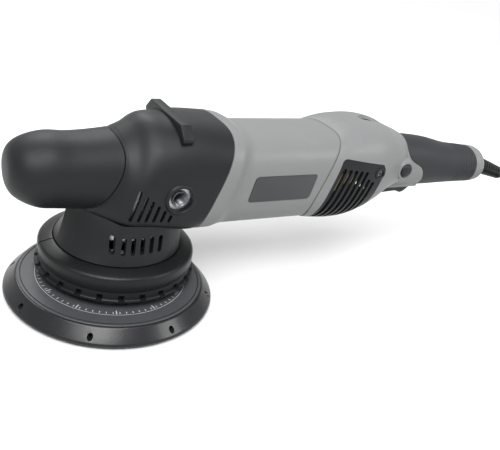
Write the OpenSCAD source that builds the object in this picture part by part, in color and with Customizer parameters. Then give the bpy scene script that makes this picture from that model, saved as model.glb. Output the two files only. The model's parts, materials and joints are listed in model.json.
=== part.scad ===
// Dual action polisher: a geared head that turns a backing plate on an eccentric,
// a mains motor behind it, a rear handle with trigger, and a coiled supply cord.
// X runs to the rear, Z up. The origin is on the spindle axis, on the plate's face.

/* [Backing plate] */
// Radius of the backing plate
plate_r = 75; // [62:0.5:90]
// Height of the plate's rim
plate_h = 12.2; // [11:0.1:15]
// How far the rim slopes in from its foot to the label
plate_slope = 8.6; // [3:0.1:12]
// Thickness of the hook face under the plate
hook_t = 1.5; // [1:0.1:3]
// Thickness of the label disc
label_t = 0.8; // [0.4:0.1:1.2]
// Radius of the centre hole that the bolt goes in through
plate_hole_r = 7; // [6.8:0.1:7.5]
// Radius of the cooling holes in the rim
rim_hole_r = 2; // [1:0.1:2.5]
// Number of cooling holes in the rim
rim_holes = 8; // [4:1:12]
// Distance from the spindle axis to the plate axis
orbit = 10.5; // [8:0.1:10.5]
// Direction of the plate axis from the spindle axis, in degrees
orbit_at = 239; // [0:1:359]

/* [Spindle and gears] */
// Height of the motor axis above the plate face
axis_z = 88; // [86:0.5:96]
// Radius of the spindle in its lower bearing
spindle_r = 7.5; // [6.5:0.1:8]
// Radius of the spindle in the crown gear
gear_seat_r = 6; // [5:0.1:6.2]
// Radius of the spindle in its upper bearing
spindle_tip_r = 4; // [3:0.1:5]
// Radius of the plate shaft
plate_shaft_r = 6; // [5:0.1:6.5]
// Radial clearance between a shaft and its bearing
run_gap = 0.03; // [0.01:0.01:0.1]
// Distance from the axes' crossing to the outer end of the gear teeth
cone_len = 26; // [24:0.5:28]
// Length of the gear teeth
tooth_len = 9; // [6:0.5:10]
// Number of teeth on the crown gear
crown_teeth = 40; // [36:1:44]
// Number of teeth on the pinion
pinion_teeth = 10; // [9:1:12]
// Radius swept by the counterweight
weight_r = 39; // [34:0.5:39.5]

/* [Head] */
// Half width of the head
head_w = 42; // [41:0.5:48]
// Height of the head's top above the motor axis
head_rise = 44; // [42:0.5:54]
// Radius of the skirt's lip
skirt_r = 45.3; // [44.5:0.1:50]
// Outer radius of the rubber shroud ring
shroud_r = 56; // [52:0.5:66]
// Wall of the moulded shells
wall = 2.6; // [2:0.1:3]
// Half width of the nose grip
nose_w = 27; // [22:0.5:30]
// How far the nose reaches in front of the spindle axis
nose_x = 80.5; // [72:0.5:98]
// Radius of the side handle thread
handle_r = 4; // [3:0.1:5]
// Depth of the side handle thread
handle_depth = 15; // [12:0.5:18]
// Distance of the side handle thread behind the spindle axis
handle_x = 25; // [24:0.5:28]
// How far the side handle thread sits below the motor axis
handle_drop = 2; // [0:0.5:4]

/* [Motor] */
// Half width of the motor housing
barrel_w = 37.9; // [37:0.1:44]
// Half height of the motor housing
barrel_h = 34.2; // [34:0.1:40]
// Distance of the motor housing's rear seam behind the spindle axis
barrel_end = 146; // [144:0.5:160]
// Radius of the field core
core_r = 30.5; // [26:0.1:31]
// Radius of the armature core
armature_r = 19; // [15:0.1:19.5]
// Gap between armature and field core
air_gap = 0.6; // [0.4:0.1:1]
// Length of the field core
core_len = 46; // [36:0.5:48]
// Radius of the commutator
commutator_r = 13; // [10:0.1:14]
// Radius of the motor shaft
shaft_r = 5; // [4:0.1:5.5]
// Radius of the motor fan
fan_r = 25; // [22:0.5:25.5]
// Number of fan blades
fan_blades = 11; // [7:1:15]

/* [Handle and controls] */
// Half width of the rear housing
rear_w = 40.5; // [39:0.1:46]
// End of the rear handle behind the spindle axis
tail_x = 356; // [350:0.5:440]
// Half width of the rear grip at its front
grip_w = 21.5; // [20:0.1:24]
// Thickness of the rubber on the rear grip
rubber_t = 2.2; // [1.5:0.1:3]
// Radius of the speed dial
dial_r = 11; // [9:0.1:12]
// Width of the speed dial
dial_w = 8; // [6:0.1:10]
// Length of the trigger
trigger_len = 52; // [44:0.5:52]
// Width of the trigger
trigger_w = 18; // [14:0.5:20]
// Radius of the lock button
button_r = 5.6; // [4.5:0.1:6]

/* [Cord] */
// Diameter of the cord
cord_d = 8; // [6:0.1:8.5]
// Mean radius of the coil's outer turn
coil_r = 59; // [56:0.5:70]
// Turns side by side in the coil
coil_turns = 3; // [2:1:4]
// Layers in the coil
coil_layers = 4; // [2:2:4]
// Radius of the plug's body
plug_r = 18; // [15:0.5:20]

/* [Hidden] */
$fn = 48;

// A little more than nothing, so that a cut passes through a face.
cut = 0.5;
// Gap left between two shells that meet at a seam.
seam = 0.15;
// Gap left round a piece that moves.
play = 0.5;
// Points round a lofted shell.
RING = 36;
// Colours of the mouldings.
black = [0.16, 0.17, 0.18];
grey = [0.62, 0.63, 0.63];
dark = [0.27, 0.28, 0.29];
metal = [0.72, 0.73, 0.75];
copper = [0.72, 0.42, 0.22];

// Heights along the plate axis.
hub_z = 5;
label_top = plate_h + label_t;
hub_top = plate_h + 4.8;
hub_r = 34;
hub_boss_r = 17;
washer_r = plate_hole_r - 0.3;
bolt_r = 4;

// Heights of the eccentric, from the plate up.
ecc_z = hub_top + 1.5;
bearing_w = 7;
plate_bearing_r = 13;
ecc_r = plate_bearing_r + 3.5;
pocket_top = ecc_z + 1 + 2 * bearing_w;
flange_z = pocket_top + 3.5;
flange_t = 3;
flange_r = 24;
hub_end = flange_z + 6;

// Heights of the gear case, tied to the motor axis.
plate_z = axis_z - 44;
plate_t = 14;
lower_bearing_r = 16;
lower_bearing_w = 9;
lower_bearing_z = plate_z + 2;
case_z = plate_z + plate_t;
case_r = 30.5;
case_wall = 3;
neck_r = 25.2;
case_top = axis_z + 16;
case_shoulder = axis_z + 8.5;
upper_bearing_z = axis_z + 13;
upper_bearing_r = 11;
upper_bearing_w = 7;

// Bevel gears: the pitch cones meet at the crossing of the two axes.
pinion_cone = atan(pinion_teeth / crown_teeth);
crown_cone = 90 - pinion_cone;
tooth_up = 2.4;
tooth_down = 3.2;
tooth_root = 4.4;
crown_root = crown_cone - tooth_down;
crown_out = [cone_len * sin(crown_root), axis_z - cone_len * cos(crown_root)];
crown_in = [(cone_len - tooth_len) * sin(crown_root), axis_z - (cone_len - tooth_len) * cos(crown_root)];
crown_z = crown_out[1] - 4;

// Shroud and skirt, at fixed heights above the plate.
vent_z = hub_top + 0.6;
shroud_z = vent_z + 7;
shroud_top = shroud_z + 11.4;
lip_z = shroud_top + 2.9;
skirt_in = skirt_r - wall - 0.7;
// The skirt's two narrow faces: their distance from the axis at the top, and their direction.
skirt_face = 33;
skirt_face_at = 147;

// Height of the side handle threads.
handle_z = axis_z - handle_drop;

// Stations along the motor axis.
case_end = 44;
flange_x = 48;
bearing_r = 13;
motor_bearing_w = 8;
front_bearing_x = case_end - motor_bearing_w;
rear_bearing_x = 180;
core_x = 86;
// Least gap between the field core and the housing, where a low housing cuts flats on it.
core_fit = 0.5;
fan_x = 54;
commutator_x = 148;
commutator_len = 20;
brush_x = commutator_x + commutator_len / 2;
brush_size = [7, 12, 9];

// Screws that hold the gear case to the motor housing, from the motor axis: [y, z].
screw_spots = [[-29, -10], [29, -10], [-29, 14], [29, 14]];
baffle_x = 70;
baffle_t = 2.4;
badge_t = 0.8;

// Stations of the rear.
grip_x = 245;
dial_at = [216, 0, 113.5];
// The speed board lies just under the dial.
board_z = dial_at[2] - dial_r - 2.4;
scoop_r = 24;
scoop_w = 11;
scoop_z = dial_at[2] + 31;
trigger_x = 222;
trigger_z = axis_z - 16;
trigger_t = 10;
switch_z = axis_z - 6;
button_at = [236.5, 0, 94];
button_out = 30;
screw_x = [176, 232, 300, tail_x - 24];
tail_z = axis_z - 3.5;

// Frame of the cord: it leaves the tail falling at this angle.
boot_tilt = 16;
boot_len = 44;
boot_r = 8.2;
boot_neck_r = 7;
cord_r = cord_d / 2;
coil_at = [500, -coil_r, 0];
route = [[tail_x + 4, 0, 83], [398, 0, 74], [430, 0, 58], [452, 0, 30],
         [466, 0, 12], [479, 0, cord_r]];
lead = [[559, -60, 28], [559, -76, 26], [558, -92, 21], [557, -110, plug_r + 0.5]];

// Rings of the shells. Each ring lies in a plane that leans with the height:
// [x, lean, centre height, half width, rise, fall, upper roundness, lower roundness].
// A ninth number, where there is one, swells the ring to the rear at the sides.
nose_seam = [-24, 0.46, axis_z + 6, nose_w + 3, 26, 26, 2.2, 2.4, 9];
nose_rings = [
    [-nose_x, 0, axis_z + 6, nose_w * 0.25, 6, 6, 2, 2],
    [-nose_x + 0.8, 0, axis_z + 6, nose_w * 0.45, 11, 11, 2, 2],
    [-nose_x + 3.5, 0, axis_z + 6, nose_w * 0.65, 16, 16, 2, 2],
    [-nose_x + 8, 0.02, axis_z + 6, nose_w * 0.82, 19.8, 19.5, 2, 2],
    [-nose_x + 14, 0.06, axis_z + 6, nose_w * 0.93, 22.6, 22.5, 2, 2],
    [-nose_x + 23, 0.13, axis_z + 6, nose_w, 24.4, 25, 2.1, 2.1],
    [-nose_x + 34, 0.24, axis_z + 5.5, nose_w + 0.5, 24.3, 25.5, 2.1, 2.1, 2],
    [-nose_x + 45, 0.36, axis_z + 5.5, nose_w + 1.5, 24.8, 25.7, 2.2, 2.2, 5],
    nose_seam];
collar_seam = [51.5, 0.36, axis_z, head_w + 2.5, head_rise - 3, 33, 3.2, 3.6];
head_rings = [
    nose_seam,
    [-17, 0.4, axis_z - 2, head_w - 5, head_rise - 4, 19.5, 1.9, 4, 7],
    [-8, 0.34, axis_z - 4, head_w - 1.5, head_rise + 3, 20, 2, 6, 4],
    [8, 0.31, axis_z - 3, head_w - 0.5, head_rise + 2.5, 22.3, 2.4, 7],
    [25, 0.29, axis_z - 2, head_w + 0.5, head_rise + 1.5, 25, 2.8, 7],
    collar_seam];
barrel_rings = [
    collar_seam,
    [62, 0.31, axis_z, head_w + 2, head_rise - 4, 34, 3.2, 3.4],
    [70, 0.3, axis_z, barrel_w + 1.5, barrel_h + 3, barrel_h, 3.2, 3.4],
    [75, 0.3, axis_z + 0.3, barrel_w, barrel_h, barrel_h, 3.4, 3.4],
    [barrel_end + 9, 0.36, axis_z + 0.3, barrel_w, barrel_h, barrel_h, 3.4, 3.4, -9]];
rear_rings = [
    [barrel_end + 9, 0.36, axis_z + 0.3, barrel_w + 0.6, barrel_h + 0.6, barrel_h + 0.6, 3.4, 3.4, -9],
    [barrel_end + 17, 0.36, axis_z + 0.6, rear_w - 0.8, barrel_h + 3.8, barrel_h + 2, 3.3, 3.3, -5],
    [barrel_end + 32, 0.33, axis_z + 1, rear_w, barrel_h + 6, barrel_h + 4, 3.1, 3.1],
    [barrel_end + 50, 0.26, axis_z + 1.5, rear_w - 0.6, barrel_h + 5.8, barrel_h + 3, 2.9, 2.8],
    [barrel_end + 66, 0.18, axis_z + 2, rear_w - 3.5, barrel_h + 3, barrel_h - 5, 2.7, 2.5],
    [barrel_end + 78, 0.12, axis_z + 2, rear_w - 8, barrel_h - 1, barrel_h - 14, 2.5, 2.4],
    [barrel_end + 90, 0.08, axis_z + 2, grip_w + 6, barrel_h - 4.4, barrel_h - 17, 2.4, 2.4],
    [grip_x - 1, 0.05, axis_z + 2, grip_w + 1.5, barrel_h - 7.4, barrel_h - 17.5, 2.4, 2.4]];
grip_rings = [
    [grip_x, 0.05, axis_z + 1.5, grip_w, 25.5, 20, 2.3, 2.3],
    [grip_x + 35, 0, axis_z, grip_w - 1, 23.5, 19.5, 2.2, 2.2],
    [grip_x + 65, 0, axis_z - 2, grip_w - 3, 19.4, 17.8, 2.1, 2.1],
    [tail_x - 27, 0, axis_z - 2.5, grip_w - 3.2, 17.8, 17.3, 2.1, 2.1],
    [tail_x - 16, -0.03, axis_z - 3, grip_w - 3.5, 17, 17, 2.1, 2.1]];
tail_rings = [
    [tail_x - 16 + seam, -0.03, axis_z - 3, grip_w - 3.5, 17, 17, 2.1, 2.1],
    [tail_x - 10, -0.05, axis_z - 3, grip_w - 3.8, 16.8, 16.8, 2.1, 2.1],
    [tail_x - 4, -0.05, axis_z - 3.2, grip_w - 5.2, 15.3, 15.3, 2, 2],
    [tail_x - 1, -0.03, axis_z - 3.4, grip_w - 8, 12.2, 12.2, 2, 2],
    [tail_x, 0, axis_z - 3.5, grip_w - 11, 9.2, 9.2, 2, 2]];
// The rubber starts further back on the lower half, behind the lock button.
grip_step_x = 271;
grip_step_z = axis_z + 8;

function spow(v, p) = sign(v) * pow(abs(v), p);
function ring_point(r, t, off) =
    let (s = sin(t), e = 2 / (s >= 0 ? r[6] : r[7]))
    let (y = (r[3] - off) * spow(cos(t), e))
    let (z = ((s >= 0 ? r[4] : r[5]) - off) * spow(s, e))
    let (swell = len(r) > 8 ? r[8] * pow(abs(cos(t)), 1.5) : 0)
    [r[0] + r[1] * z + swell, y, r[2] + z];
function ring_points(r, off) = [for (i = [0 : RING - 1]) ring_point(r, 360 * i / RING, off)];
// Faces of a skin over rows of n points, closed at both ends round one more point each.
function skin_faces(rows, n) = concat(
    [for (i = [0 : n - 1]) [i, (i + 1) % n, rows * n]],
    [for (k = [0 : rows - 2]) for (i = [0 : n - 1]) let (j = (i + 1) % n)
        each [[k * n + i, (k + 1) * n + i, (k + 1) * n + j], [k * n + i, (k + 1) * n + j, k * n + j]]],
    [for (i = [0 : n - 1]) [(rows - 1) * n + (i + 1) % n, (rows - 1) * n + i, rows * n + 1]]);
function last(v) = v[len(v) - 1];
function middle(v) = [for (k = [0 : 2]) [for (p = v) 1] * [for (p = v) p[k]] / len(v)];
// Points of a skin from its rows, with the middle of the first and the last row.
function skin_points(rows) = concat([for (r = rows) each r], [middle(rows[0]), middle(last(rows))]);
function shifted(r, dx) = [for (i = [0 : len(r) - 1]) i == 0 ? r[0] + dx : r[i]];
// Rings moved out past both ends, for a hollow that opens at both seams.
function stretched(rings, first, end) = [for (i = [0 : len(rings) - 1])
    i == 0 ? shifted(rings[i], -first) : i == len(rings) - 1 ? shifted(rings[i], end) : rings[i]];

// Solid skin over a row of rings, drawn in by off.
module loft(rings, off = 0) {
    polyhedron(skin_points([for (r = rings) ring_points(r, off)]), skin_faces(len(rings), RING));
}

// Cylinder that starts at a point and runs along +X, +Y or +Z.
module rod_x(r, x, len, y = 0, z = axis_z) {
    translate([x, y, z]) rotate([0, 90, 0]) cylinder(r = r, h = len);
}
module rod_y(r, y, len, x = 0, z = axis_z) {
    translate([x, y, z]) rotate([-90, 0, 0]) cylinder(r = r, h = len);
}
module rod_z(r, z, len, x = 0, y = 0) {
    translate([x, y, z]) cylinder(r = r, h = len);
}
module tube_x(r, inner, x, len) {
    difference() {
        rod_x(r, x, len);
        rod_x(inner, x - cut, len + 2 * cut);
    }
}
module tube_z(r, inner, z, len) {
    difference() {
        rod_z(r, z, len);
        rod_z(inner, z - cut, len + 2 * cut);
    }
}
module at_plate() {
    translate([orbit * cos(orbit_at), orbit * sin(orbit_at), 0]) children();
}
module both_sides() {
    children();
    mirror([0, 1, 0]) children();
}
// Everything on one side of the middle plane: side is 1 for +Y and -1 for -Y.
module half(side) {
    translate([100, side * 100, axis_z]) cube([700, 200, 300], center = true);
}

// ---- Backing plate ----
module plate_foam() {
    color(black) at_plate() difference() {
        rotate_extrude($fn = 96)
            polygon([[plate_hole_r, hook_t], [plate_r - 1, hook_t], [plate_r, hook_t + 1],
                     [plate_r - plate_slope, plate_h], [hub_boss_r + 5, plate_h],
                     [hub_boss_r + 5, plate_h - 1.2], [hub_r, plate_h - 1.2],
                     [hub_r, hub_z], [plate_hole_r, hub_z]]);
        for (i = [0 : rim_holes - 1]) rotate(360 * (i + 0.35) / rim_holes)
            rod_x(rim_hole_r, plate_r - plate_slope - 12, plate_slope + 14, 0, plate_h / 2 + 0.6);
    }
}
module plate_label() {
    color([0.42, 0.43, 0.44]) at_plate()
        tube_z(plate_r - plate_slope - 0.6, hub_boss_r + 5, plate_h, label_t);
}
module hook_face() {
    color([0.12, 0.12, 0.12]) at_plate() tube_z(plate_r - 1.5, plate_hole_r, 0, hook_t, $fn = 96);
}
module plate_hub() {
    color([0.2, 0.2, 0.21]) at_plate() difference() {
        union() {
            rod_z(hub_r, hub_z, plate_h - 1.2 - hub_z);
            rod_z(hub_boss_r, hub_z, hub_top - hub_z);
        }
        rod_z(10, plate_h, hub_top);
        rod_z(bolt_r + 0.2, 0, plate_h + cut);
    }
}
module plate_spindle() {
    color(metal) at_plate() difference() {
        union() {
            rod_z(10 - 0.02, plate_h, hub_top - plate_h);
            rod_z(plate_shaft_r - run_gap, hub_top - cut, pocket_top - hub_top + cut);
        }
        rod_z(bolt_r + 0.02, plate_h - cut, 16 + cut);
    }
}
module plate_bolt() {
    color(metal) at_plate() difference() {
        union() {
            rod_z(washer_r, hub_z - 0.8, 0.8);
            rod_z(6.2, hub_z - 3.6, 3);
            rod_z(bolt_r, hub_z - 1, plate_h - hub_z + 14);
        }
        rod_z(2.5, hub_z - 4, 2.6, $fn = 6);
    }
}

// ---- Eccentric and spindle ----
module eccentric_hub() {
    color(metal) difference() {
        union() {
            at_plate() rod_z(ecc_r, ecc_z, flange_z - ecc_z + 1);
            rod_z(flange_r, flange_z, flange_t);
            rod_z(spindle_r + 5, flange_z, hub_end - flange_z);
        }
        at_plate() rod_z(plate_bearing_r, ecc_z + 1, pocket_top - ecc_z - 1 + 0.6);
        at_plate() rod_z(plate_bearing_r - 1.2, ecc_z - cut, 2);
        rod_z(spindle_r, flange_z - 0.2, 20);
        for (a = [-42, 0, 42]) rotate(orbit_at + 180 + a) rod_z(2.1, flange_z - 1, 6, 19.5);
    }
}
module plate_bearings() {
    color([0.55, 0.56, 0.58]) at_plate() for (k = [0, 1])
        tube_z(plate_bearing_r, plate_shaft_r, ecc_z + 1 + k * bearing_w + 0.05 * k, bearing_w - 0.05);
}
module counterweight() {
    weight_z = ecc_z + 3;
    color([0.4, 0.4, 0.42]) difference() {
        intersection() {
            rod_z(weight_r, weight_z, flange_z - weight_z);
            rotate(orbit_at + 180) translate([0, 0, weight_z]) linear_extrude(flange_z - weight_z)
                polygon([[0, 0], for (a = [-75 : 25 : 75]) 60 * [cos(a), sin(a)]]);
        }
        rod_z(15, weight_z - cut, 30);
        at_plate() rod_z(ecc_r + 1, weight_z - cut, 30);
        for (a = [-42, 0, 42]) rotate(orbit_at + 180 + a) rod_z(2, flange_z - 8, 10, 19.5);
    }
}
module counterweight_screws() {
    color(metal) for (a = [-42, 0, 42]) rotate(orbit_at + 180 + a) {
        rod_z(1.98, flange_z - 7, 7 + flange_t, 19.5);
        rod_z(3.4, flange_z + flange_t, 2, 19.5);
    }
}
module spindle() {
    color(metal) union() {
        rod_z(spindle_r - run_gap, flange_z, crown_z - flange_z);
        rod_z(gear_seat_r - 0.02, crown_z - cut, upper_bearing_z - crown_z);
        rod_z(spindle_tip_r - run_gap, upper_bearing_z - 2, upper_bearing_w + 1.5);
    }
}
// A point on a gear, from its cone angle, its turn and its distance from the crossing.
function crown_at(c, t, d) = [d * sin(c) * cos(t), d * sin(c) * sin(t), axis_z - d * cos(c)];
function pinion_at(c, t, d) = [d * cos(c), d * sin(c) * sin(t), axis_z - d * sin(c) * cos(t)];
// Tooth corners: the foot is wider than the tip, and both taper towards the crossing.
function tooth_spots(foot, tip, wide, narrow, d) =
    [[foot, -wide, d], [foot, wide, d], [tip, narrow, d], [tip, -narrow, d]];
TOOTH_FACES = [[0, 1, 2, 3], [7, 6, 5, 4], [1, 0, 4, 5], [2, 1, 5, 6], [3, 2, 6, 7], [0, 3, 7, 4]];
function tooth_corners(foot, tip, wide, narrow) = concat(
    tooth_spots(foot, tip, wide, narrow, cone_len - tooth_len),
    tooth_spots(foot, tip, wide, narrow, cone_len));
module crown_gear() {
    step = 360 / crown_teeth;
    spots = tooth_corners(crown_cone - tooth_root, crown_cone + tooth_up, step * 0.27, step * 0.12);
    color([0.5, 0.5, 0.52]) difference() {
        union() {
            rotate_extrude()
                polygon([[0, crown_z], [crown_out[0] - 1.5, crown_z], [crown_out[0], crown_z + 1.5],
                         crown_out, crown_in, [crown_in[0] - 2, crown_in[1] - 1], [0, crown_in[1] - 1]]);
            for (i = [0 : crown_teeth - 1])
                polyhedron([for (p = spots) crown_at(p[0], p[1] + (i + 0.5) * step, p[2])], TOOTH_FACES);
        }
        rod_z(gear_seat_r, crown_z - 10, 20);
    }
}
module pinion() {
    step = 360 / pinion_teeth;
    spots = tooth_corners(pinion_cone - tooth_root, pinion_cone + tooth_up, step * 0.25, step * 0.1);
    root = pinion_cone - tooth_down;
    near = (cone_len - tooth_len) * cos(pinion_cone);
    far = cone_len * cos(pinion_cone);
    color([0.5, 0.5, 0.52]) difference() {
        union() {
            translate([0, 0, axis_z]) rotate([0, 90, 0]) rotate_extrude()
                polygon([[0, near], [near * tan(root), near], [far * tan(root), far],
                         [far * tan(root), far + 1], [shaft_r, far + 1], [shaft_r, front_bearing_x - 0.2],
                         [0, front_bearing_x - 0.2]]);
            for (i = [0 : pinion_teeth - 1])
                polyhedron([for (p = spots) pinion_at(p[0], p[1] + i * step, p[2])],
                           [for (f = TOOTH_FACES) [for (k = [3 : -1 : 0]) f[k]]]);
        }
        rod_x(2.6, near + 4, 60);
    }
}

// ---- Gear case ----
// Round flange with two flats that clear the narrow faces of the skirt.
module case_flange(z, t) {
    difference() {
        rod_z(36, z, t);
        for (s = [-1, 1]) rotate(s * skirt_face_at) translate([skirt_face, -30, z - cut])
            cube([10, 60, t + 2 * cut]);
    }
}
module gear_case() {
    color(metal) difference() {
        union() {
            rod_z(case_r, case_z, case_shoulder - case_z);
            translate([0, 0, case_shoulder])
                cylinder(r1 = case_r, r2 = case_r - 6, h = case_top - case_shoulder);
            case_flange(case_z, 4);
            rod_z(upper_bearing_r + 3, case_top - 2, upper_bearing_z + upper_bearing_w + 3 - case_top + 2);
            rod_x(neck_r, 0, case_end);
            rod_x(28, case_end, flange_x - case_end);
            translate([case_end, -34, axis_z - 16]) cube([flange_x - case_end, 68, 36]);
            both_sides() rod_y(8.5, 20, head_w - wall - 20.6, handle_x, handle_z);
        }
        rod_z(case_r - case_wall, case_z - cut, case_shoulder - case_z + cut);
        rod_z(upper_bearing_r, axis_z, upper_bearing_z + upper_bearing_w - axis_z);
        rod_x(neck_r - case_wall, 0, front_bearing_x - 4);
        rod_x(8, 0, case_end);
        rod_x(bearing_r, front_bearing_x, 20);
        for (p = screw_spots) rod_x(2, case_end - cut, 20, p[0], axis_z + p[1]);
        for (a = [0 : 90 : 270]) rotate(a) rod_z(2, case_z - cut, 4 + 2 * cut, 33);
        both_sides() rod_y(6, head_w - wall - handle_depth - 1, 40, handle_x, handle_z);
    }
}
module bearing_plate() {
    color(metal) difference() {
        union() {
            rod_z(lower_bearing_r + 4, plate_z, plate_t);
            case_flange(case_z - 4, 4 - 0.02);
            rod_z(case_r - case_wall - 0.1, case_z - 4, 6);
        }
        for (a = [0 : 90 : 270]) rotate(a) rod_z(2, case_z - 8, 20, 33);
        rod_z(lower_bearing_r, lower_bearing_z, 40);
        rod_z(spindle_r + 1.5, plate_z - cut, 20);
    }
}
module lower_spindle_bearing() {
    color([0.55, 0.56, 0.58]) tube_z(lower_bearing_r, spindle_r, lower_bearing_z, lower_bearing_w);
}
module upper_spindle_bearing() {
    color([0.55, 0.56, 0.58])
        tube_z(upper_bearing_r, spindle_tip_r, upper_bearing_z + 0.05, upper_bearing_w - 0.1);
}
module handle_inserts() {
    color(metal) both_sides() difference() {
        rod_y(6, head_w - wall - handle_depth - 1, handle_depth + 1 + wall + 1, handle_x, handle_z);
        rod_y(handle_r, head_w - handle_depth + 1, 40, handle_x, handle_z);
    }
}

// ---- Head shells ----
module nose_grip() {
    color(dark) difference() {
        loft(nose_rings);
        loft([for (i = [2 : 8]) i == 8 ? shifted(nose_rings[i], cut) : nose_rings[i]], wall);
    }
}
// Heights of the slots in the side of the head, from front to rear: [x, low, high].
head_slots = [for (i = [0 : 5]) [-9 + 5.4 * i, axis_z - 17 - 0.3 * i, axis_z + 5 - 3.6 * i]];
module head_cover() {
    color(black) difference() {
        loft(stretched(head_rings, -seam, -seam));
        loft(stretched(head_rings, cut, cut), wall);
        both_sides() for (s = head_slots) translate([s[0], -head_w, s[1]]) rotate([0, 16, 0])
            translate([-1.1, -8, 0]) cube([2.2, 16, s[2] - s[1]]);
        both_sides() rod_y(9, 30, 30, handle_x, handle_z);
        // The gear chamber stands open below, where the skirt closes it.
        translate([-31.5, -34, axis_z - 60]) cube([69.5, 68, 60]);
    }
    color(black) both_sides() difference() {
        rod_y(10.8, head_w - 3, 4.4, handle_x, handle_z);
        rod_y(9 - 0.1, head_w - 4, 10, handle_x, handle_z);
    }
}
bumper_x = [24.7, 32.7];
module top_bumper() {
    top = axis_z + head_rise + 1.6;
    color(black) difference() {
        translate([bumper_x[0], 0, 0]) rotate([90, 0, 90]) linear_extrude(bumper_x[1] - bumper_x[0])
            polygon([[-head_w + 7.4, top - 9.5], [-head_w + 8, top - 7.2], [-26.5, top], [26.5, top],
                     [head_w - 8, top - 7.2], [head_w - 7.4, top - 9.5], [20, top - 25], [-20, top - 25]]);
        loft(head_rings, -0.1);
    }
}

// Distance from the axis to the skirt's upper edge, in each direction.
function skirt_plan(t) = min(44 + skirt_r - 45.3, (head_w - 2) / max(abs(sin(t)), 0.01),
    skirt_face / max(cos(abs(abs(t) - skirt_face_at)), 0.01));
function turn(t) = t > 180 ? t - 360 : t;
function skirt_top(x) = axis_z - 21.4 + (x > -23 ? -0.09 * x : 2.1 + min((-23 - x) * 0.36, 2));
function skirt_ring_at(f, off) = [for (i = [0 : RING - 1]) let (t = 360 * i / RING,
    r = skirt_r * (1 - f) + skirt_plan(turn(t)) * f - off, x = r * cos(t),
    low = lip_z, high = skirt_top(x))
    [x, r * sin(t), low + (high - low) * f]];
module skirt_loft(off, grow) {
    rows = [0, 0.35, 0.7, 1];
    points = skin_points([for (f = rows) [for (p = skirt_ring_at(f, off))
        [p[0], p[1], p[2] + (f == 0 ? -grow : f == 1 ? grow : 0)]]]);
    polyhedron(points, skin_faces(len(rows), RING));
}
module skirt() {
    slots = 6;
    color(dark) difference() {
        union() {
            skirt_loft(0, 0);
            rod_z(skirt_r - 1, shroud_z + 0.4, lip_z - shroud_z);
        }
        skirt_loft(wall, cut);
        loft(nose_rings, -0.1);
        loft(head_rings, -0.1);
        loft(barrel_rings, -0.1);
        rod_z(skirt_in, shroud_z - cut, lip_z - shroud_z + 2);
        both_sides() for (i = [0 : slots - 1])
            translate([-20 + 6.6 * i, head_w - 16, lip_z + 8]) cube([3, 30, 12]);
    }
}
module shroud_ring() {
    color([0.13, 0.14, 0.15]) difference() {
        rotate_extrude($fn = 72)
            polygon([[skirt_r - 0.8, shroud_z], [shroud_r - 1, shroud_z], [shroud_r, shroud_z + 1.5],
                     [shroud_r, shroud_top - 2], [shroud_r - 1.5, shroud_top],
                     [skirt_r + 2, lip_z - 1], [skirt_r + 0.6, lip_z - 0.2], [skirt_r - 0.8, lip_z - 0.6]]);
        rotate(175) translate([skirt_r, -0.5, shroud_z - cut]) cube([20, 1, 20]);
    }
}
module vent_ring() {
    teeth = 24;
    color([0.2, 0.21, 0.22]) difference() {
        union() {
            tube_z(shroud_r + 1.6, shroud_r - 3.4, vent_z, 2.4);
            tube_z(shroud_r - 1, shroud_r - 3.4, vent_z, shroud_z - vent_z - 0.02);
            tube_z(shroud_r - 3.3, skirt_r - 3, shroud_z - 2, 2 - 0.02);
        }
        for (i = [0 : teeth - 1]) rotate(360 * i / teeth)
            translate([shroud_r - 5, -2, vent_z + 1]) cube([10, 4, 3.6]);
    }
}

// ---- Motor ----
module motor_housing() {
    color(grey) difference() {
        loft(stretched(barrel_rings, -seam, -seam));
        difference() {
            loft(stretched(barrel_rings, cut, cut), wall);
            // Baffle behind the fan, and the posts that take the gear case's screws.
            difference() {
                translate([baffle_x, -60, axis_z - 60]) cube([baffle_t, 120, 120]);
                rod_x(fan_r - 3, baffle_x - cut, 10);
            }
            for (p = screw_spots) rod_x(4.5, flange_x + 0.05, baffle_x - flange_x, p[0], axis_z + p[1]);
        }
        for (p = screw_spots) rod_x(2, flange_x - cut, 14, p[0], axis_z + p[1]);
        both_sides() badge(0.1, badge_t + 0.05, 2);
    }
}
// Blank badge on the side, its outline grown by grow and its outer face by out.
module badge(grow, depth, out) {
    translate([0, barrel_w + 0.3 + out, 0]) rotate([90, 0, 0]) linear_extrude(depth + out)
        polygon([for (p = [[81 - grow, -8 - grow], [132 + grow, -8 - grow],
                           [136 + grow, 11 + grow], [85 - grow, 11 + grow]]) [p[0], axis_z + p[1]]]);
}
module side_badges() {
    color([0.25, 0.26, 0.27]) both_sides() badge(0, badge_t, 0);
}
module motor_shaft() {
    color(metal) union() {
        rod_x(2.58, 24, 12);
        rod_x(shaft_r - run_gap, front_bearing_x, rear_bearing_x + motor_bearing_w - front_bearing_x);
    }
}
module armature_core() {
    color([0.45, 0.45, 0.46]) tube_x(armature_r, shaft_r, core_x + 1, core_len - 2);
}
module armature_windings() {
    color(copper) {
        tube_x(armature_r - 2, shaft_r, core_x - 8, 9);
        tube_x(armature_r - 2, shaft_r, core_x + core_len - 1, 9);
    }
}
module commutator() {
    color(copper) tube_x(commutator_r, shaft_r, commutator_x, commutator_len);
}
module motor_fan() {
    color(black) difference() {
        union() {
            rod_x(10, fan_x, 14);
            rod_x(fan_r, fan_x, 2);
            for (i = [0 : fan_blades - 1]) translate([0, 0, axis_z]) rotate([360 * i / fan_blades, 0, 0])
                translate([fan_x + 1, 9, -0.8]) cube([10, fan_r - 10, 1.6]);
        }
        rod_x(shaft_r, fan_x - cut, 20);
    }
}
module field_core() {
    color([0.45, 0.45, 0.46]) intersection() {
        tube_x(core_r, armature_r + air_gap, core_x, core_len);
        loft(barrel_rings, wall + core_fit);
    }
}
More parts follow.
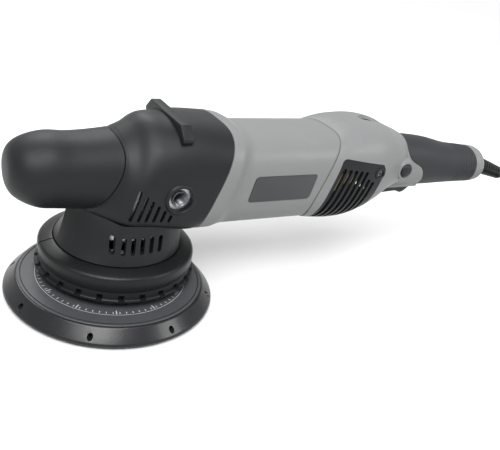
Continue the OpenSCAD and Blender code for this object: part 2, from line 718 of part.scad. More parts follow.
module field_coils() {
    color(copper) intersection() {
        union() {
            tube_x(core_r - 2, armature_r + 2, core_x - 10, 9.9);
            tube_x(core_r - 2, armature_r + 2, core_x + core_len + 0.1, 9.8);
        }
        loft(barrel_rings, wall + core_fit);
    }
}
module motor_bearings() {
    color([0.55, 0.56, 0.58]) {
        tube_x(bearing_r, shaft_r, front_bearing_x, motor_bearing_w);
        tube_x(bearing_r, shaft_r, rear_bearing_x, motor_bearing_w);
    }
}
module brush_box(grow, from, len) {
    translate([brush_x - brush_size[0] / 2 - grow, from, axis_z - brush_size[2] / 2 - grow])
        cube([brush_size[0] + 2 * grow, len, brush_size[2] + 2 * grow]);
}
module brush_holders() {
    color([0.78, 0.62, 0.3]) both_sides() {
        difference() {
            brush_box(1.4, commutator_r + 3, 19);
            brush_box(0.1, commutator_r, 21);
        }
        translate([brush_x + 4.8, commutator_r + 13, axis_z - 4])
            cube([bulkhead_x - brush_x - 4.85, 1.5, 8]);
    }
}
module brush_left() {
    color([0.2, 0.2, 0.2]) mirror([0, 1, 0]) brush_box(0, commutator_r + 0.3, brush_size[1]);
}
module brush_right() {
    color([0.2, 0.2, 0.2]) brush_box(0, commutator_r + 0.3, brush_size[1]);
}

// ---- Rear housing ----
module vent_outline(grow) {
    polygon([[140 - grow, axis_z - 42], [160 - grow, axis_z + 20 + grow], [162, axis_z + 22 + grow],
             [202, axis_z + 16 + grow], [205.5 + grow, axis_z + 12], [201.5 + grow, axis_z - 4],
             [190 + grow, axis_z - 42]]);
}
module trigger_window() {
    translate([trigger_x - 6, -trigger_w / 2 - play, axis_z - 40])
        cube([trigger_len + 6, trigger_w + 2 * play, switch_z - axis_z + 40]);
}
module grip_step(gap) {
    translate([gap, 50, gap]) rotate([90, 0, 0]) linear_extrude(100)
        polygon([[grip_x - 20, axis_z - 50], [grip_step_x, axis_z - 50], [grip_step_x, axis_z - 10],
                 [grip_step_x - 5, grip_step_z - 5], [grip_x + 10, grip_step_z],
                 [grip_x + 3, grip_step_z + 5], [grip_x - 20, grip_step_z + 5]]);
}
bulkhead_x = rear_bearing_x + 4;
module rear_shell() {
    difference() {
        union() {
            loft(stretched(rear_rings, -seam, 0));
            loft(stretched(grip_rings, 6, 0), rubber_t);
            intersection() {
                loft(grip_rings);
                grip_step(0);
            }
            // Ledge under the housing, beside the trigger.
            translate([214, -16, axis_z - 17]) cube([grip_step_x - 214, 32, 6]);
            mirror([0, 1, 0]) rod_y(button_r + 3, 16, button_out - 16, button_at[0], button_at[2]);
        }
        difference() {
            union() {
                loft(stretched(rear_rings, cut, -4), wall);
                loft(stretched(grip_rings, 9, cut), rubber_t + wall);
                rod_x(14, grip_x - 12, 20, 0, axis_z + 2);
            }
            // Bulkhead that carries the rear motor bearing.
            translate([bulkhead_x, -60, axis_z - 60]) cube([4, 120, 120]);
            rod_x(bearing_r + 3, rear_bearing_x - 1, 6);
            for (i = [0 : len(screw_x) - 1]) rod_y(4.2, -30, 60, screw_x[i], screw_z(i));
            // Ears that hold the trigger's pin.
            both_sides() translate([trigger_x - 6, trigger_w / 2 + play, trigger_z - 8]) cube([12, 4, 16]);
        }
        rod_x(bearing_r, rear_bearing_x - 2, motor_bearing_w + 2);
        for (a = [45 : 90 : 315]) rod_x(7, bulkhead_x - cut, 5, 25 * cos(a), axis_z + 25 * sin(a));
        rod_y(1.5, -20, 40, trigger_x, trigger_z);
        for (i = [0 : len(screw_x) - 1]) rod_y(2, -12.1, 24.2, screw_x[i], screw_z(i));
        trigger_window();
        // Finger scoop and slot for the dial in the top.
        translate([dial_at[0], 0, scoop_z]) rotate([90, 0, 0]) rotate_extrude()
            polygon([[0, -scoop_w], for (a = [-75 : 15 : 75]) [scoop_r * cos(a), scoop_w * sin(a)],
                     [0, scoop_w]]);
        translate(dial_at) rotate([90, 0, 0])
            cylinder(r = dial_r + play, h = dial_w + 2 * play, center = true);
        mirror([0, 1, 0]) rod_y(button_r + 0.3, 0, 60, button_at[0], button_at[2]);
        for (s = [-1, 1]) translate([0, s * (rear_w + 8), 0]) rotate([90, 0, 0])
            linear_extrude(30, center = true) vent_outline(0.4);
    }
}
function screw_z(i) = [axis_z - 30, axis_z + 21, axis_z - 8, axis_z - 8][i];
module rear_housing_left() {
    color(grey) intersection() {
        rear_shell();
        half(-1);
    }
}
module rear_housing_right() {
    color(grey) intersection() {
        rear_shell();
        half(1);
    }
}
vent_slots = 7;
module vent_cover_right() {
    color(black) difference() {
        intersection() {
            difference() {
                loft(stretched(rear_rings, -2, 0), 0.3);
                loft(stretched(rear_rings, cut, -4), wall + 0.2);
            }
            translate([0, rear_w + 8 + 0.02, 0]) rotate([90, 0, 0])
                linear_extrude(30, center = true) vent_outline(0);
        }
        for (i = [0 : vent_slots - 1]) translate([148 + 5.8 * i, 0, axis_z - 33])
            rotate([0, 18, 0]) cube([3, 60, i > 4 ? 36 : 48]);
        rod_y(2, 0, 60, 199.5, axis_z + 9);
    }
}
module vent_cover_left() {
    mirror([0, 1, 0]) vent_cover_right();
}
module speed_dial() {
    color(black) difference() {
        union() {
            translate(dial_at) rotate([90, 0, 0]) cylinder(r = dial_r, h = dial_w, center = true);
            translate(dial_at) rotate([90, 0, 0]) cylinder(r = 2.5, h = dial_w + 8, center = true);
        }
        for (i = [0 : 23]) translate(dial_at) rotate([0, 15 * i, 0])
            translate([dial_r, 0, 0]) cube([1.2, dial_w + 1, 1.2], center = true);
    }
}
module speed_board() {
    color([0.1, 0.35, 0.2]) difference() {
        union() {
            translate([dial_at[0] - 11, -15, board_z]) cube([26, 30, 1.6]);
            for (s = [-1, 1]) translate([dial_at[0] - 3, s * 9 - 1.5, board_z + 1])
                cube([6, 3, dial_at[2] - board_z + 2]);
        }
        translate(dial_at) rotate([90, 0, 0]) cylinder(r = 2.5 + 0.05, h = 40, center = true);
    }
}
module switch_body() {
    color([0.15, 0.15, 0.15]) difference() {
        translate([226, -9, switch_z]) cube([30, 18, 16]);
        translate([234, -4 - 0.3, switch_z - 1]) cube([10.6, 8.6, 9]);
    }
}
module switch_plunger() {
    color([0.75, 0.2, 0.15]) translate([234.3, -4, trigger_z + 2.3]) cube([10, 8, 12.2]);
}
module trigger() {
    color(black) difference() {
        union() {
            translate([trigger_x, 0, trigger_z]) rotate([90, 0, 0])
                cylinder(r = 5, h = trigger_w, center = true);
            translate([0, trigger_w / 2, 0]) rotate([90, 0, 0]) linear_extrude(trigger_w)
                polygon([[trigger_x, trigger_z + 2], [trigger_x + trigger_len - 4, trigger_z + 2],
                         [trigger_x + trigger_len - 4, trigger_z - 4],
                         [trigger_x + trigger_len - 10, trigger_z - trigger_t + 1],
                         [trigger_x + trigger_len - 14, trigger_z - trigger_t],
                         [trigger_x + trigger_len - 20, trigger_z - trigger_t + 2],
                         [trigger_x + 14, trigger_z - trigger_t + 1], [trigger_x, trigger_z - 5]]);
        }
        translate([trigger_x, 0, trigger_z]) rotate([90, 0, 0])
            cylinder(r = 1.5 + run_gap, h = 60, center = true);
    }
}
module trigger_pin() {
    color(metal) rod_y(1.5, -13, 26, trigger_x, trigger_z);
}
spring_at = [250, 0, trigger_z + 2.5];
spring_h = 7.2;
module trigger_spring() {
    turns = 4;
    path = [for (a = [0 : 24 : 360 * turns])
        spring_at + [3.2 * cos(a), 3.2 * sin(a), 0.4 + (spring_h - 0.8) * a / 360 / turns]];
    color(metal) sweep(path, 0.4, 6, [0, 0, 1]);
}
module lock_button() {
    color(black) mirror([0, 1, 0]) union() {
        rod_y(button_r, 22, button_out - 22 + 1, button_at[0], button_at[2]);
        translate([button_at[0], button_out + 1, button_at[2]]) rotate([-90, 0, 0])
            rotate_extrude() intersection() {
                scale([1, 0.4]) circle(r = button_r);
                square(button_r);
            }
    }
}
module rear_grip() {
    color(dark) difference() {
        loft(stretched(grip_rings, -seam, 0));
        loft(stretched(grip_rings, cut, cut), rubber_t - 0.02);
        grip_step(seam);
    }
}
module tail_cap() {
    color(grey) difference() {
        loft(tail_rings);
        translate([tail_x - 20, 0, tail_z]) rotate([0, 90, 0]) cylinder(r = boot_neck_r + 0.1, h = 40);
    }
}
module housing_screws() {
    color([0.3, 0.3, 0.31]) for (i = [0 : len(screw_x) - 1]) {
        rod_y(1.95, -12, 24, screw_x[i], screw_z(i));
    }
}
module case_screws() {
    color([0.3, 0.3, 0.31]) {
        for (p = screw_spots) {
            rod_x(1.98, case_end - 1, 18, p[0], axis_z + p[1]);
            rod_x(3.5, case_end - 2.5, 2.48, p[0], axis_z + p[1]);
        }
        for (a = [0 : 90 : 270]) rotate(a) {
            rod_z(1.98, case_z - 5, 8.9, 33);
            rod_z(3.4, case_z - 6.5, 2.48, 33);
        }
    }
}
module cord_clamp() {
    color([0.2, 0.2, 0.21]) difference() {
        translate([tail_x - 41, -7, axis_z - 11.5]) cube([10, 14, 8]);
        rod_x(cord_r, tail_x - 45, 20, 0, axis_z - 3.5);
    }
}
module strain_relief() {
    color([0.12, 0.12, 0.13]) difference() {
        union() {
            difference() {
                translate([tail_x, 0, tail_z - 0.5]) rotate([0, boot_tilt, 0]) rotate([0, 90, 0])
                    cylinder(r1 = boot_r, r2 = 5.6, h = boot_len);
                translate([tail_x - 20 + 0.05, -20, tail_z - 20]) cube([20, 40, 40]);
            }
            rod_x(boot_neck_r, tail_x - 8, 9, 0, tail_z);
        }
        rod_x(cord_r, tail_x - 9, 12, 0, tail_z);
        translate([tail_x, 0, tail_z - 0.5]) rotate([0, boot_tilt, 0]) rotate([0, 90, 0])
            cylinder(r = cord_r, h = boot_len + 5);
    }
}

// ---- Cord ----
function unit(v) = v / norm(v);
function spline(a, b, c, d, t) = 0.5 * (2 * b + (c - a) * t + (2 * a - 5 * b + 4 * c - d) * t * t
    + (3 * b - a - 3 * c + d) * t * t * t);
function smooth(p, n) = concat([for (i = [0 : len(p) - 2]) for (k = [0 : n - 1])
    spline(p[max(i - 1, 0)], p[i], p[i + 1], p[min(i + 2, len(p) - 1)], k / n)], [last(p)]);
// Round rod along a path; up is a direction that the path never takes.
module sweep(path, r, sides, up = [1, 0, 0]) {
    n = len(path);
    rows = [for (i = [0 : n - 1])
        let (t = unit(path[min(i + 1, n - 1)] - path[max(i - 1, 0)]))
        let (u = unit(cross(up, t)), v = cross(t, u))
        [for (k = [0 : sides - 1]) path[i] + r * (cos(360 * k / sides) * u + sin(360 * k / sides) * v)]];
    polyhedron(skin_points(rows), skin_faces(n, sides));
}
module power_cord() {
    color([0.1, 0.1, 0.1]) sweep(smooth(route, 2), cord_r, 10, [0, 1, 0]);
}
module plug_lead() {
    color([0.1, 0.1, 0.1]) sweep(smooth(lead, 2), cord_r, 10);
}
coil_in = coil_r - (coil_turns - 1) * cord_d;
coil_h = coil_layers * cord_d;
module cord_coil() {
    color([0.1, 0.1, 0.1]) translate(coil_at) rotate_extrude($fn = 72)
        polygon([[coil_in - cord_r, 2], [coil_in - cord_r + 2, 0], [coil_r + cord_r - 2, 0],
                 [coil_r + cord_r, 2], [coil_r + cord_r, coil_h - 2], [coil_r + cord_r - 2, coil_h],
                 [coil_in - cord_r + 2, coil_h], [coil_in - cord_r, coil_h - 2]]);
}
module plug_body() {
    color([0.12, 0.12, 0.13]) translate(last(lead)) rotate([90, 0, 0]) {
        cylinder(r1 = 6, r2 = 9, h = 16);
        translate([0, 0, 16]) cylinder(r = plug_r, h = 28);
    }
}
module plug_pins() {
    color(metal) for (s = [-1, 1]) translate(last(lead) + [s * 9.5, 0, 0]) rotate([90, 0, 0])
        translate([0, 0, 44]) cylinder(r = 2.4, h = 19);
}

nose_grip();
head_cover();
top_bumper();
skirt();
shroud_ring();
vent_ring();
gear_case();
bearing_plate();
handle_inserts();
lower_spindle_bearing();
upper_spindle_bearing();
motor_housing();
side_badges();
field_core();
field_coils();
motor_bearings();
brush_holders();
rear_housing_left();
rear_housing_right();
vent_cover_left();
vent_cover_right();
rear_grip();
tail_cap();
switch_body();
trigger_pin();
speed_board();
housing_screws();
case_screws();
cord_clamp();
strain_relief();
power_cord();
cord_coil();
plug_lead();
plug_body();
plug_pins();
spindle();
crown_gear();
eccentric_hub();
counterweight();
counterweight_screws();
plate_bearings();
plate_spindle();
plate_hub();
plate_foam();
plate_label();
hook_face();
plate_bolt();
motor_shaft();
pinion();
armature_core();
armature_windings();
commutator();
motor_fan();
trigger();
trigger_spring();
switch_plunger();
lock_button();
speed_dial();
brush_left();
brush_right();
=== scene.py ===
import json
import math

import bmesh
import bpy
from bpy.props import FloatProperty, FloatVectorProperty, IntProperty, PointerProperty
from mathutils import Matrix, Vector
from mathutils.bvhtree import BVHTree


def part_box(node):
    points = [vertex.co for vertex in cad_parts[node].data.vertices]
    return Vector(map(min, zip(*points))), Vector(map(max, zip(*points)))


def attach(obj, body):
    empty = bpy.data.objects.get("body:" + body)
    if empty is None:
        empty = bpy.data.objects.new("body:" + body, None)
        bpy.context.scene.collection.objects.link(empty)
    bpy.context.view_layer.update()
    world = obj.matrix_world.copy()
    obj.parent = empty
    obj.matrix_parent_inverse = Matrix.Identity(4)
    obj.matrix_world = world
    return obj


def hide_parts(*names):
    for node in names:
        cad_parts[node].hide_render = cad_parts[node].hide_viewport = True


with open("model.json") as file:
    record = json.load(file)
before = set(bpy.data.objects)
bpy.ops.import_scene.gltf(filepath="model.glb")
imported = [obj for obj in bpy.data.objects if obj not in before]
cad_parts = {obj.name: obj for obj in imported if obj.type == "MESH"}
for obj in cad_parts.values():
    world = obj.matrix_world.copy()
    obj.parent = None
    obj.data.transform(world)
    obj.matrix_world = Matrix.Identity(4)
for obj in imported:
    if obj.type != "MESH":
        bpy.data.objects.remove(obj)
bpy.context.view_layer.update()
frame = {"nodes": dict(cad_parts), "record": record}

bl_info = {
    "name": "Dual Action Polisher",
    "version": (1, 0, 0),
    "blender": (4, 5, 0),
    "location": "3D View > Sidebar > Polisher",
    "description": "Builds the outer pieces and finishes of a dual action polisher round its packed frame",
    "category": "Object",
}

MM = 0.001
SIDES = 144


# ---- Places that the frame gives, in millimetres ----

def node_box(node):
    """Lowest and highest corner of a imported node."""
    low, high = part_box(node)
    return low / MM, high / MM


def node_radius(node):
    """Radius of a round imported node."""
    low, high = node_box(node)
    return round((high.x - low.x) / 2, 2)


def node_middle(node):
    """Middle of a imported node's box."""
    low, high = node_box(node)
    return (low + high) / 2


axis_z = round(node_middle("motor_shaft").z, 2)
plate_at = node_middle("hook_face")
hook_t, plate_top = (round(corner.z, 2) for corner in node_box("plate_foam"))
plate_r = node_radius("plate_foam")
label_top = node_box("plate_label")[1].z
label_r = node_radius("plate_label")
shroud_foot = node_box("shroud_ring")[0].z
shroud_r = node_radius("shroud_ring")
vent_foot = node_box("vent_ring")[0].z
tail_x = round(node_box("tail_cap")[1].x, 2)
dial_at = node_middle("speed_dial")
trigger_low, trigger_high = node_box("trigger")
button_at = node_middle("lock_button")
insert_at = node_middle("handle_inserts")
coil_low, coil_high = node_box("cord_coil")

# Sizes that more than one piece shares.
BUTTON_RING = 8.6
RUBBER = 2.2
SIDE_FACE = 42
SHARP_ANGLE = 34
FLOOR_DROP = 0.3

# Outer shapes. A ring is x, lean, centre height, half width, rise, fall, upper and
# lower roundness, and how far it swells to the rear at its sides.
NOSE_SEAM = (-24, 0.46, axis_z + 6, 30, 26, 26, 2.2, 2.4, 9)
NOSE_RINGS = (
    (-80.5, 0, axis_z + 6, 6.75, 6, 6, 2, 2, 0),
    (-79.7, 0, axis_z + 6, 12.15, 11, 11, 2, 2, 0),
    (-77, 0, axis_z + 6, 17.55, 16, 16, 2, 2, 0),
    (-72.5, 0.02, axis_z + 6, 22.1, 19.8, 19.5, 2, 2, 0),
    (-66.5, 0.06, axis_z + 6, 25.1, 22.6, 22.5, 2, 2, 0),
    (-57.5, 0.13, axis_z + 6, 27, 24.4, 25, 2.1, 2.1, 0),
    (-46.5, 0.24, axis_z + 5.5, 27.5, 24.3, 25.5, 2.1, 2.1, 2),
    (-35.5, 0.36, axis_z + 5.5, 28.5, 24.8, 25.7, 2.2, 2.2, 5),
    NOSE_SEAM,
)
COLLAR_SEAM = (51.5, 0.36, axis_z, 44.5, 41, 33, 3.2, 3.6, 0)
HEAD_RINGS = (
    NOSE_SEAM,
    (-17, 0.4, axis_z - 2, 37, 40, 19.5, 1.9, 4, 7),
    (-8, 0.34, axis_z - 4, 40.5, 47, 20, 2, 6, 4),
    (8, 0.31, axis_z - 3, 41.5, 46.5, 22.3, 2.4, 7, 0),
    (25, 0.29, axis_z - 2, 42.5, 45.5, 25, 2.8, 7, 0),
    COLLAR_SEAM,
)
BARREL_RINGS = (
    COLLAR_SEAM,
    (62, 0.31, axis_z, 44, 40, 34, 3.2, 3.4, 0),
    (70, 0.3, axis_z, 39.4, 37.2, 34.2, 3.2, 3.4, 0),
    (75, 0.3, axis_z + 0.3, 37.9, 34.2, 34.2, 3.4, 3.4, 0),
    (155, 0.36, axis_z + 0.3, 37.9, 34.2, 34.2, 3.4, 3.4, -9),
)
REAR_RINGS = (
    (155, 0.36, axis_z + 0.3, 38.5, 34.8, 34.8, 3.4, 3.4, -9),
    (163, 0.36, axis_z + 0.6, 39.7, 38, 36.2, 3.3, 3.3, -5),
    (178, 0.33, axis_z + 1, 40.5, 40.2, 38.2, 3.1, 3.1, 0),
    (196, 0.26, axis_z + 1.5, 39.9, 40, 37.2, 2.9, 2.8, 0),
    (212, 0.18, axis_z + 2, 37, 37.2, 29.2, 2.7, 2.5, 0),
    (224, 0.12, axis_z + 2, 32.5, 33.2, 20.2, 2.5, 2.4, 0),
    (236, 0.08, axis_z + 2, 27.5, 29.8, 17.2, 2.4, 2.4, 0),
    (244, 0.05, axis_z + 2, 23, 26.8, 16.7, 2.4, 2.4, 0),
)
GRIP_RINGS = (
    (245, 0.05, axis_z + 1.5, 21.5, 25.5, 20, 2.3, 2.3, 0),
    (280, 0, axis_z, 20.5, 23.5, 19.5, 2.2, 2.2, 0),
    (310, 0, axis_z - 2, 18.5, 19.4, 17.8, 2.1, 2.1, 0),
    (tail_x - 27, 0, axis_z - 2.5, 18.3, 17.8, 17.3, 2.1, 2.1, 0),
    (tail_x - 16, -0.03, axis_z - 3, 18, 17, 17, 2.1, 2.1, 0),
)
TAIL_RINGS = (
    (tail_x - 15.85, -0.03, axis_z - 3, 18, 17, 17, 2.1, 2.1, 0),
    (tail_x - 10, -0.05, axis_z - 3, 17.7, 16.8, 16.8, 2.1, 2.1, 0),
    (tail_x - 4, -0.05, axis_z - 3.2, 16.3, 15.3, 15.3, 2, 2, 0),
    (tail_x - 1, -0.03, axis_z - 3.4, 13.5, 12.2, 12.2, 2, 2, 0),
    (tail_x, 0, axis_z - 3.5, 10.5, 9.2, 9.2, 2, 2, 0),
)

# The cord: where it leaves the tail, the way it falls to the floor, and its lead to the plug.
CORD_ROUTE = (
    (tail_x + 4, 0, 83), (398, 0, 74), (430, 0, 58), (452, 0, 30), (466, 0, 12), (479, 0, 4),
)
PLUG_ROUTE = ((559, -76, 26), (558, -92, 21), (557, -110, 18.5))
BOOT_TILT = 16
COIL_LAYERS = 4
COIL_TURNS = 3


# ---- Settings that a user would change ----

def length_setting(name, description, default, low, high):
    """A length in millimetres."""
    return FloatProperty(
        name=name, description=description + ", in millimetres", default=default, min=low, max=high)


def count_setting(name, description, default, low, high):
    """A whole number of like features."""
    return IntProperty(name=name, description="Number of " + description, default=default, min=low, max=high)


def colour_setting(name, description, default):
    """A linear colour."""
    return FloatVectorProperty(
        name=name, description="Colour of " + description, subtype="COLOR", size=3, default=default,
        min=0, max=1)


class PolisherSizes(bpy.types.PropertyGroup):
    """Sizes of the outer pieces, in millimetres."""

    wall: length_setting("Wall", "Wall of the moulded shells", 2.6, 1.5, 3.5)
    seam: length_setting("Seam", "Half of the gap where two shells meet", 0.22, 0.05, 0.6)
    lip: length_setting("Lip", "Rounding of a shell's rim", 0.55, 0.1, 1.2)
    cord_d: length_setting("Cord", "Diameter of the cord", 8.0, 6, 9)
    rib_pitch: length_setting("Rib pitch", "Distance between the ribs of the rear grip", 3.4, 2, 6)
    rib_depth: length_setting("Rib depth", "Depth between the ribs of the rear grip", 0.5, 0.1, 1.2)
    rim_holes: count_setting("Rim holes", "cooling holes in the rim of the plate", 8, 0, 16)
    vent_slots: count_setting("Vent slots", "slots in each vent cover", 7, 3, 9)


class PolisherColours(bpy.types.PropertyGroup):
    """Colours of the main finishes."""

    housing: colour_setting("Housing", "the motor and rear housings", (0.15, 0.156, 0.155))
    head: colour_setting("Head", "the head's mouldings", (0.007, 0.0082, 0.009))
    nose: colour_setting("Nose grip", "the soft nose grip", (0.0075, 0.0088, 0.0098))
    grip: colour_setting("Rear grip", "the rubber on the rear grip", (0.018, 0.0205, 0.0225))
    label: colour_setting("Label", "the plate's label disc", (0.042, 0.0455, 0.048))
    cord: colour_setting("Cord", "the cord and plug", (0.006, 0.006, 0.0063))


# ---- Shader recipes ----

class Wire:
    """A value in a material, with arithmetic that adds its Math nodes."""

    def __init__(self, recipe, socket):
        self.recipe = recipe
        self.socket = socket

    def math(self, operation, *others):
        """This value and the others through one Math node."""
        values = dict(enumerate((self, *others)))
        return self.recipe.node("ShaderNodeMath", {"operation": operation}, values)

    def __add__(self, other):
        return self.math("ADD", other)

    def __sub__(self, other):
        return self.math("SUBTRACT", other)

    def __rsub__(self, other):
        return self.recipe.node("ShaderNodeMath", {"operation": "SUBTRACT"}, {0: other, 1: self})

    def __mul__(self, other):
        return self.math("MULTIPLY", other)

    __radd__ = __add__
    __rmul__ = __mul__


class Recipe:
    """One procedural material on a Principled shader."""

    def __init__(self, name, **fixed):
        self.material = bpy.data.materials.new(name)
        self.material.use_nodes = True
        self.tree = self.material.node_tree
        self.shader = self.tree.nodes["Principled BSDF"]
        for socket, value in fixed.items():
            self.shader.inputs[socket.replace("_", " ")].default_value = value

    def fill(self, socket, value):
        """Links a wire to a socket, or sets the socket's own value."""
        if isinstance(value, Wire):
            self.tree.links.new(value.socket, socket)
        elif hasattr(value, "__len__") and len(value) == 3 and socket.type == "RGBA":
            socket.default_value = (*value, 1.0)
        else:
            socket.default_value = value

    def node(self, kind, settings=None, sockets=None, out=0):
        """A node of that kind: its settings first, then its sockets, and one of its outputs."""
        made = self.tree.nodes.new(kind)
        for key, value in (settings or {}).items():
            setattr(made, key, value)
        for key, value in (sockets or {}).items():
            self.fill(made.inputs[key], value)
        return Wire(self, made.outputs[out])

    def place(self, centre=(0, 0, 0), stretch=(1, 1, 1), turn=(0, 0, 0)):
        """Place on the piece, in metres from centre, stretched by the given factors."""
        held = self.node("ShaderNodeTexCoord", out="Object")
        shift = [-c * s for c, s in zip(centre, stretch)]
        return self.node(
            "ShaderNodeMapping", {"vector_type": "POINT"},
            {"Vector": held, "Location": shift, "Rotation": turn, "Scale": stretch})

    def noise(self, where, size, detail=2.0, rough=0.5):
        """Cloudy pattern with spots of the given size in metres."""
        return self.node(
            "ShaderNodeTexNoise", None,
            {"Vector": where, "Scale": 1 / size, "Detail": detail, "Roughness": rough})

    def fade(self, value, low, high, start=0.0, end=1.0):
        """Smooth change from start to end while value goes from low to high."""
        return self.node(
            "ShaderNodeMapRange", {"interpolation_type": "SMOOTHSTEP"},
            {"Value": value, "From Min": low, "From Max": high, "To Min": start, "To Max": end})

    def blend(self, share, first, second):
        """Colour between two others."""
        return self.node("ShaderNodeMix", {"data_type": "RGBA"}, {0: share, 6: first, 7: second}, out=2)

    def split(self, where):
        """The three numbers of a place."""
        made = self.tree.nodes.new("ShaderNodeSeparateXYZ")
        self.fill(made.inputs[0], where)
        return [Wire(self, socket) for socket in made.outputs]

    def finish(self, colour, roughness, height=None, depth=0.0001):
        """Connects what varies and gives back the material."""
        self.fill(self.shader.inputs["Base Color"], colour)
        self.fill(self.shader.inputs["Roughness"], roughness)
        if height is not None:
            bump = self.node(
                "ShaderNodeBump", None, {"Height": height, "Distance": depth, "Strength": 1.0})
            self.fill(self.shader.inputs["Normal"], bump)
        return self.material


def shade(colour, by):
    """A colour made lighter or darker by a factor."""
    return tuple(min(1.0, c * by) for c in colour)


def moulded(name, colour, roughness, grain=0.0007, depth=0.00005, mottle=0.08, rubbed=0.12, **fixed):
    """Moulded plastic or rubber: fine grain, slight clouding and faint rubbed patches."""
    r = Recipe(name, **{"Specular_IOR_Level": 0.22, **fixed})
    where = r.place()
    fine = r.noise(where, grain, 2.0)
    cloud = r.noise(where, 0.022, 4.0)
    patch = r.fade(r.noise(where, 0.035, 6.0, 0.62), 0.56, 0.74)
    speck = r.fade(r.noise(where, 0.0016, 1.0), 0.66, 0.8)
    base = r.blend(cloud, shade(colour, 1 - mottle), shade(colour, 1 + mottle))
    worn = r.blend((patch * 0.7 + speck * 0.3) * rubbed, base, shade(colour, 1.9))
    rough = roughness - 0.07 * patch + (cloud - 0.5) * 0.12 + (fine - 0.5) * 0.08
    return r.finish(worn, rough, fine + speck * 0.4, depth)


def metal(name, colour, roughness, stretch=(1, 1, 1), size=0.0012, depth=0.00003, dull=0.75):
    """Bare metal with marks drawn out along one direction."""
    r = Recipe(name, Metallic=1.0)
    marks = r.noise(r.place(stretch=stretch), size, 3.0, 0.6)
    cloud = r.noise(r.place(), 0.012, 4.0)
    base = r.blend(cloud, shade(colour, dull), colour)
    tone = r.blend(marks * 0.35, base, shade(colour, 0.5))
    return r.finish(tone, roughness + (marks - 0.5) * 0.22 + (cloud - 0.5) * 0.1, marks, depth)


def wound_copper(name, colour):
    """Enamelled wire laid in rows, with painted shade in the crevices between the wires."""
    r = Recipe(name, Metallic=1.0, Coat_Weight=0.4)
    where = r.place(centre=(0, 0, axis_z * MM))
    rows = r.node(
        "ShaderNodeTexWave", {"wave_type": "BANDS", "bands_direction": "X", "wave_profile": "SIN"},
        {"Vector": where, "Scale": 180.0, "Distortion": 1.2, "Detail": 2.0, "Detail Scale": 3.0}, out=1)
    cloud = r.noise(where, 0.006, 3.0)
    base = r.blend(cloud, shade(colour, 0.55), colour)
    # Painted shade: between the wires the colour falls to 0.3 of the copper.
    return r.finish(r.blend(rows, shade(colour, 0.3), base), 0.5 - 0.2 * rows, rows, 0.0003)


def foam_skin(name, colour):
    """Glossy skin over moulded foam."""
    r = Recipe(name, Specular_IOR_Level=0.3, Coat_Weight=0.1, Coat_Roughness=0.12)
    where = r.place()
    cells = r.noise(where, 0.0011, 3.0, 0.6)
    cloud = r.noise(where, 0.02, 4.0)
    base = r.blend(cloud, shade(colour, 0.8), shade(colour, 1.3))
    return r.finish(base, 0.3 + (cloud - 0.5) * 0.12 + (cells - 0.5) * 0.1, cells, 0.00004)


def hook_cloth(name, colour):
    """Close rows of tiny hooks, with a painted highlight on their tops and painted shade between them."""
    r = Recipe(name, Sheen_Weight=0.3)
    where = r.place()
    hooks = r.node(
        "ShaderNodeTexVoronoi", {"feature": "F1"}, {"Vector": where, "Scale": 1100.0, "Randomness": 0.7})
    cloud = r.noise(where, 0.01, 3.0)
    # Painted highlight and painted shade: the hook tops are 2.2 times the colour, the gaps between them half
    # of it.
    base = r.blend(r.fade(hooks, 0.1, 0.6), shade(colour, 2.2), shade(colour, 0.5))
    return r.finish(base, 0.85 + (cloud - 0.5) * 0.15, 1 - hooks, 0.0005)


def printed_label(name, colour):
    """Satin label disc with an index scale and two thin printed rings, and painted shade in the groove near
    its edge.
    """
    r = Recipe(name, Specular_IOR_Level=0.3)
    where = r.place(centre=(plate_at.x * MM, plate_at.y * MM, 0))
    x, y, _ = r.split(where)
    radius = (x * x + y * y).math("SQRT")
    turn = y.math("ARCTAN2", x) * (1 / math.tau)
    def band(value, middle, half, soft):
        return r.fade((value - middle).math("ABSOLUTE"), half, half + soft, 1.0, 0.0)
    ticks = band((turn * 72).math("FRACT"), 0.5, 0.05, 0.03) * band(radius, 0.0515, 0.0009, 0.0002)
    longer = band((turn * 12).math("FRACT"), 0.5, 0.012, 0.006) * band(radius, 0.0508, 0.0019, 0.0002)
    rings = band(radius, 0.0538, 0.00012, 0.00012) + band(radius, 0.0402, 0.00012, 0.00012)
    print_mask = (ticks.math("MAXIMUM", longer)).math("MAXIMUM", rings)
    # The ring of the disc's real groove near the edge, which gets painted shade.
    groove = band(radius, label_r * MM - 0.0021, 0.0002, 0.0003)
    cloud = r.noise(where, 0.012, 4.0)
    fine = r.noise(where, 0.0006, 2.0)
    base = r.blend(cloud, shade(colour, 0.9), shade(colour, 1.12))
    inked = r.blend(print_mask * 0.75, base, (0.42, 0.43, 0.44))
    # Painted shade: the groove is coloured near black over the printed label.
    return r.finish(
        r.blend(groove, inked, (0.01, 0.01, 0.011)),
        0.42 + (cloud - 0.5) * 0.12 + print_mask * 0.1, fine - groove * 2, 0.00004)


def circuit_board(name, colour):
    """Board lacquer with paler tracks."""
    r = Recipe(name, Coat_Weight=0.5)
    where = r.place()
    tracks = r.node(
        "ShaderNodeTexBrick", None, {"Vector": where, "Scale": 260.0, "Mortar Size": 0.06}, out=1)
    cloud = r.noise(where, 0.004, 2.0)
    return r.finish(
        r.blend(tracks, r.blend(cloud, shade(colour, 0.8), shade(colour, 1.2)), (0.3, 0.34, 0.12)),
        0.3 + cloud * 0.1, tracks, 0.00006)


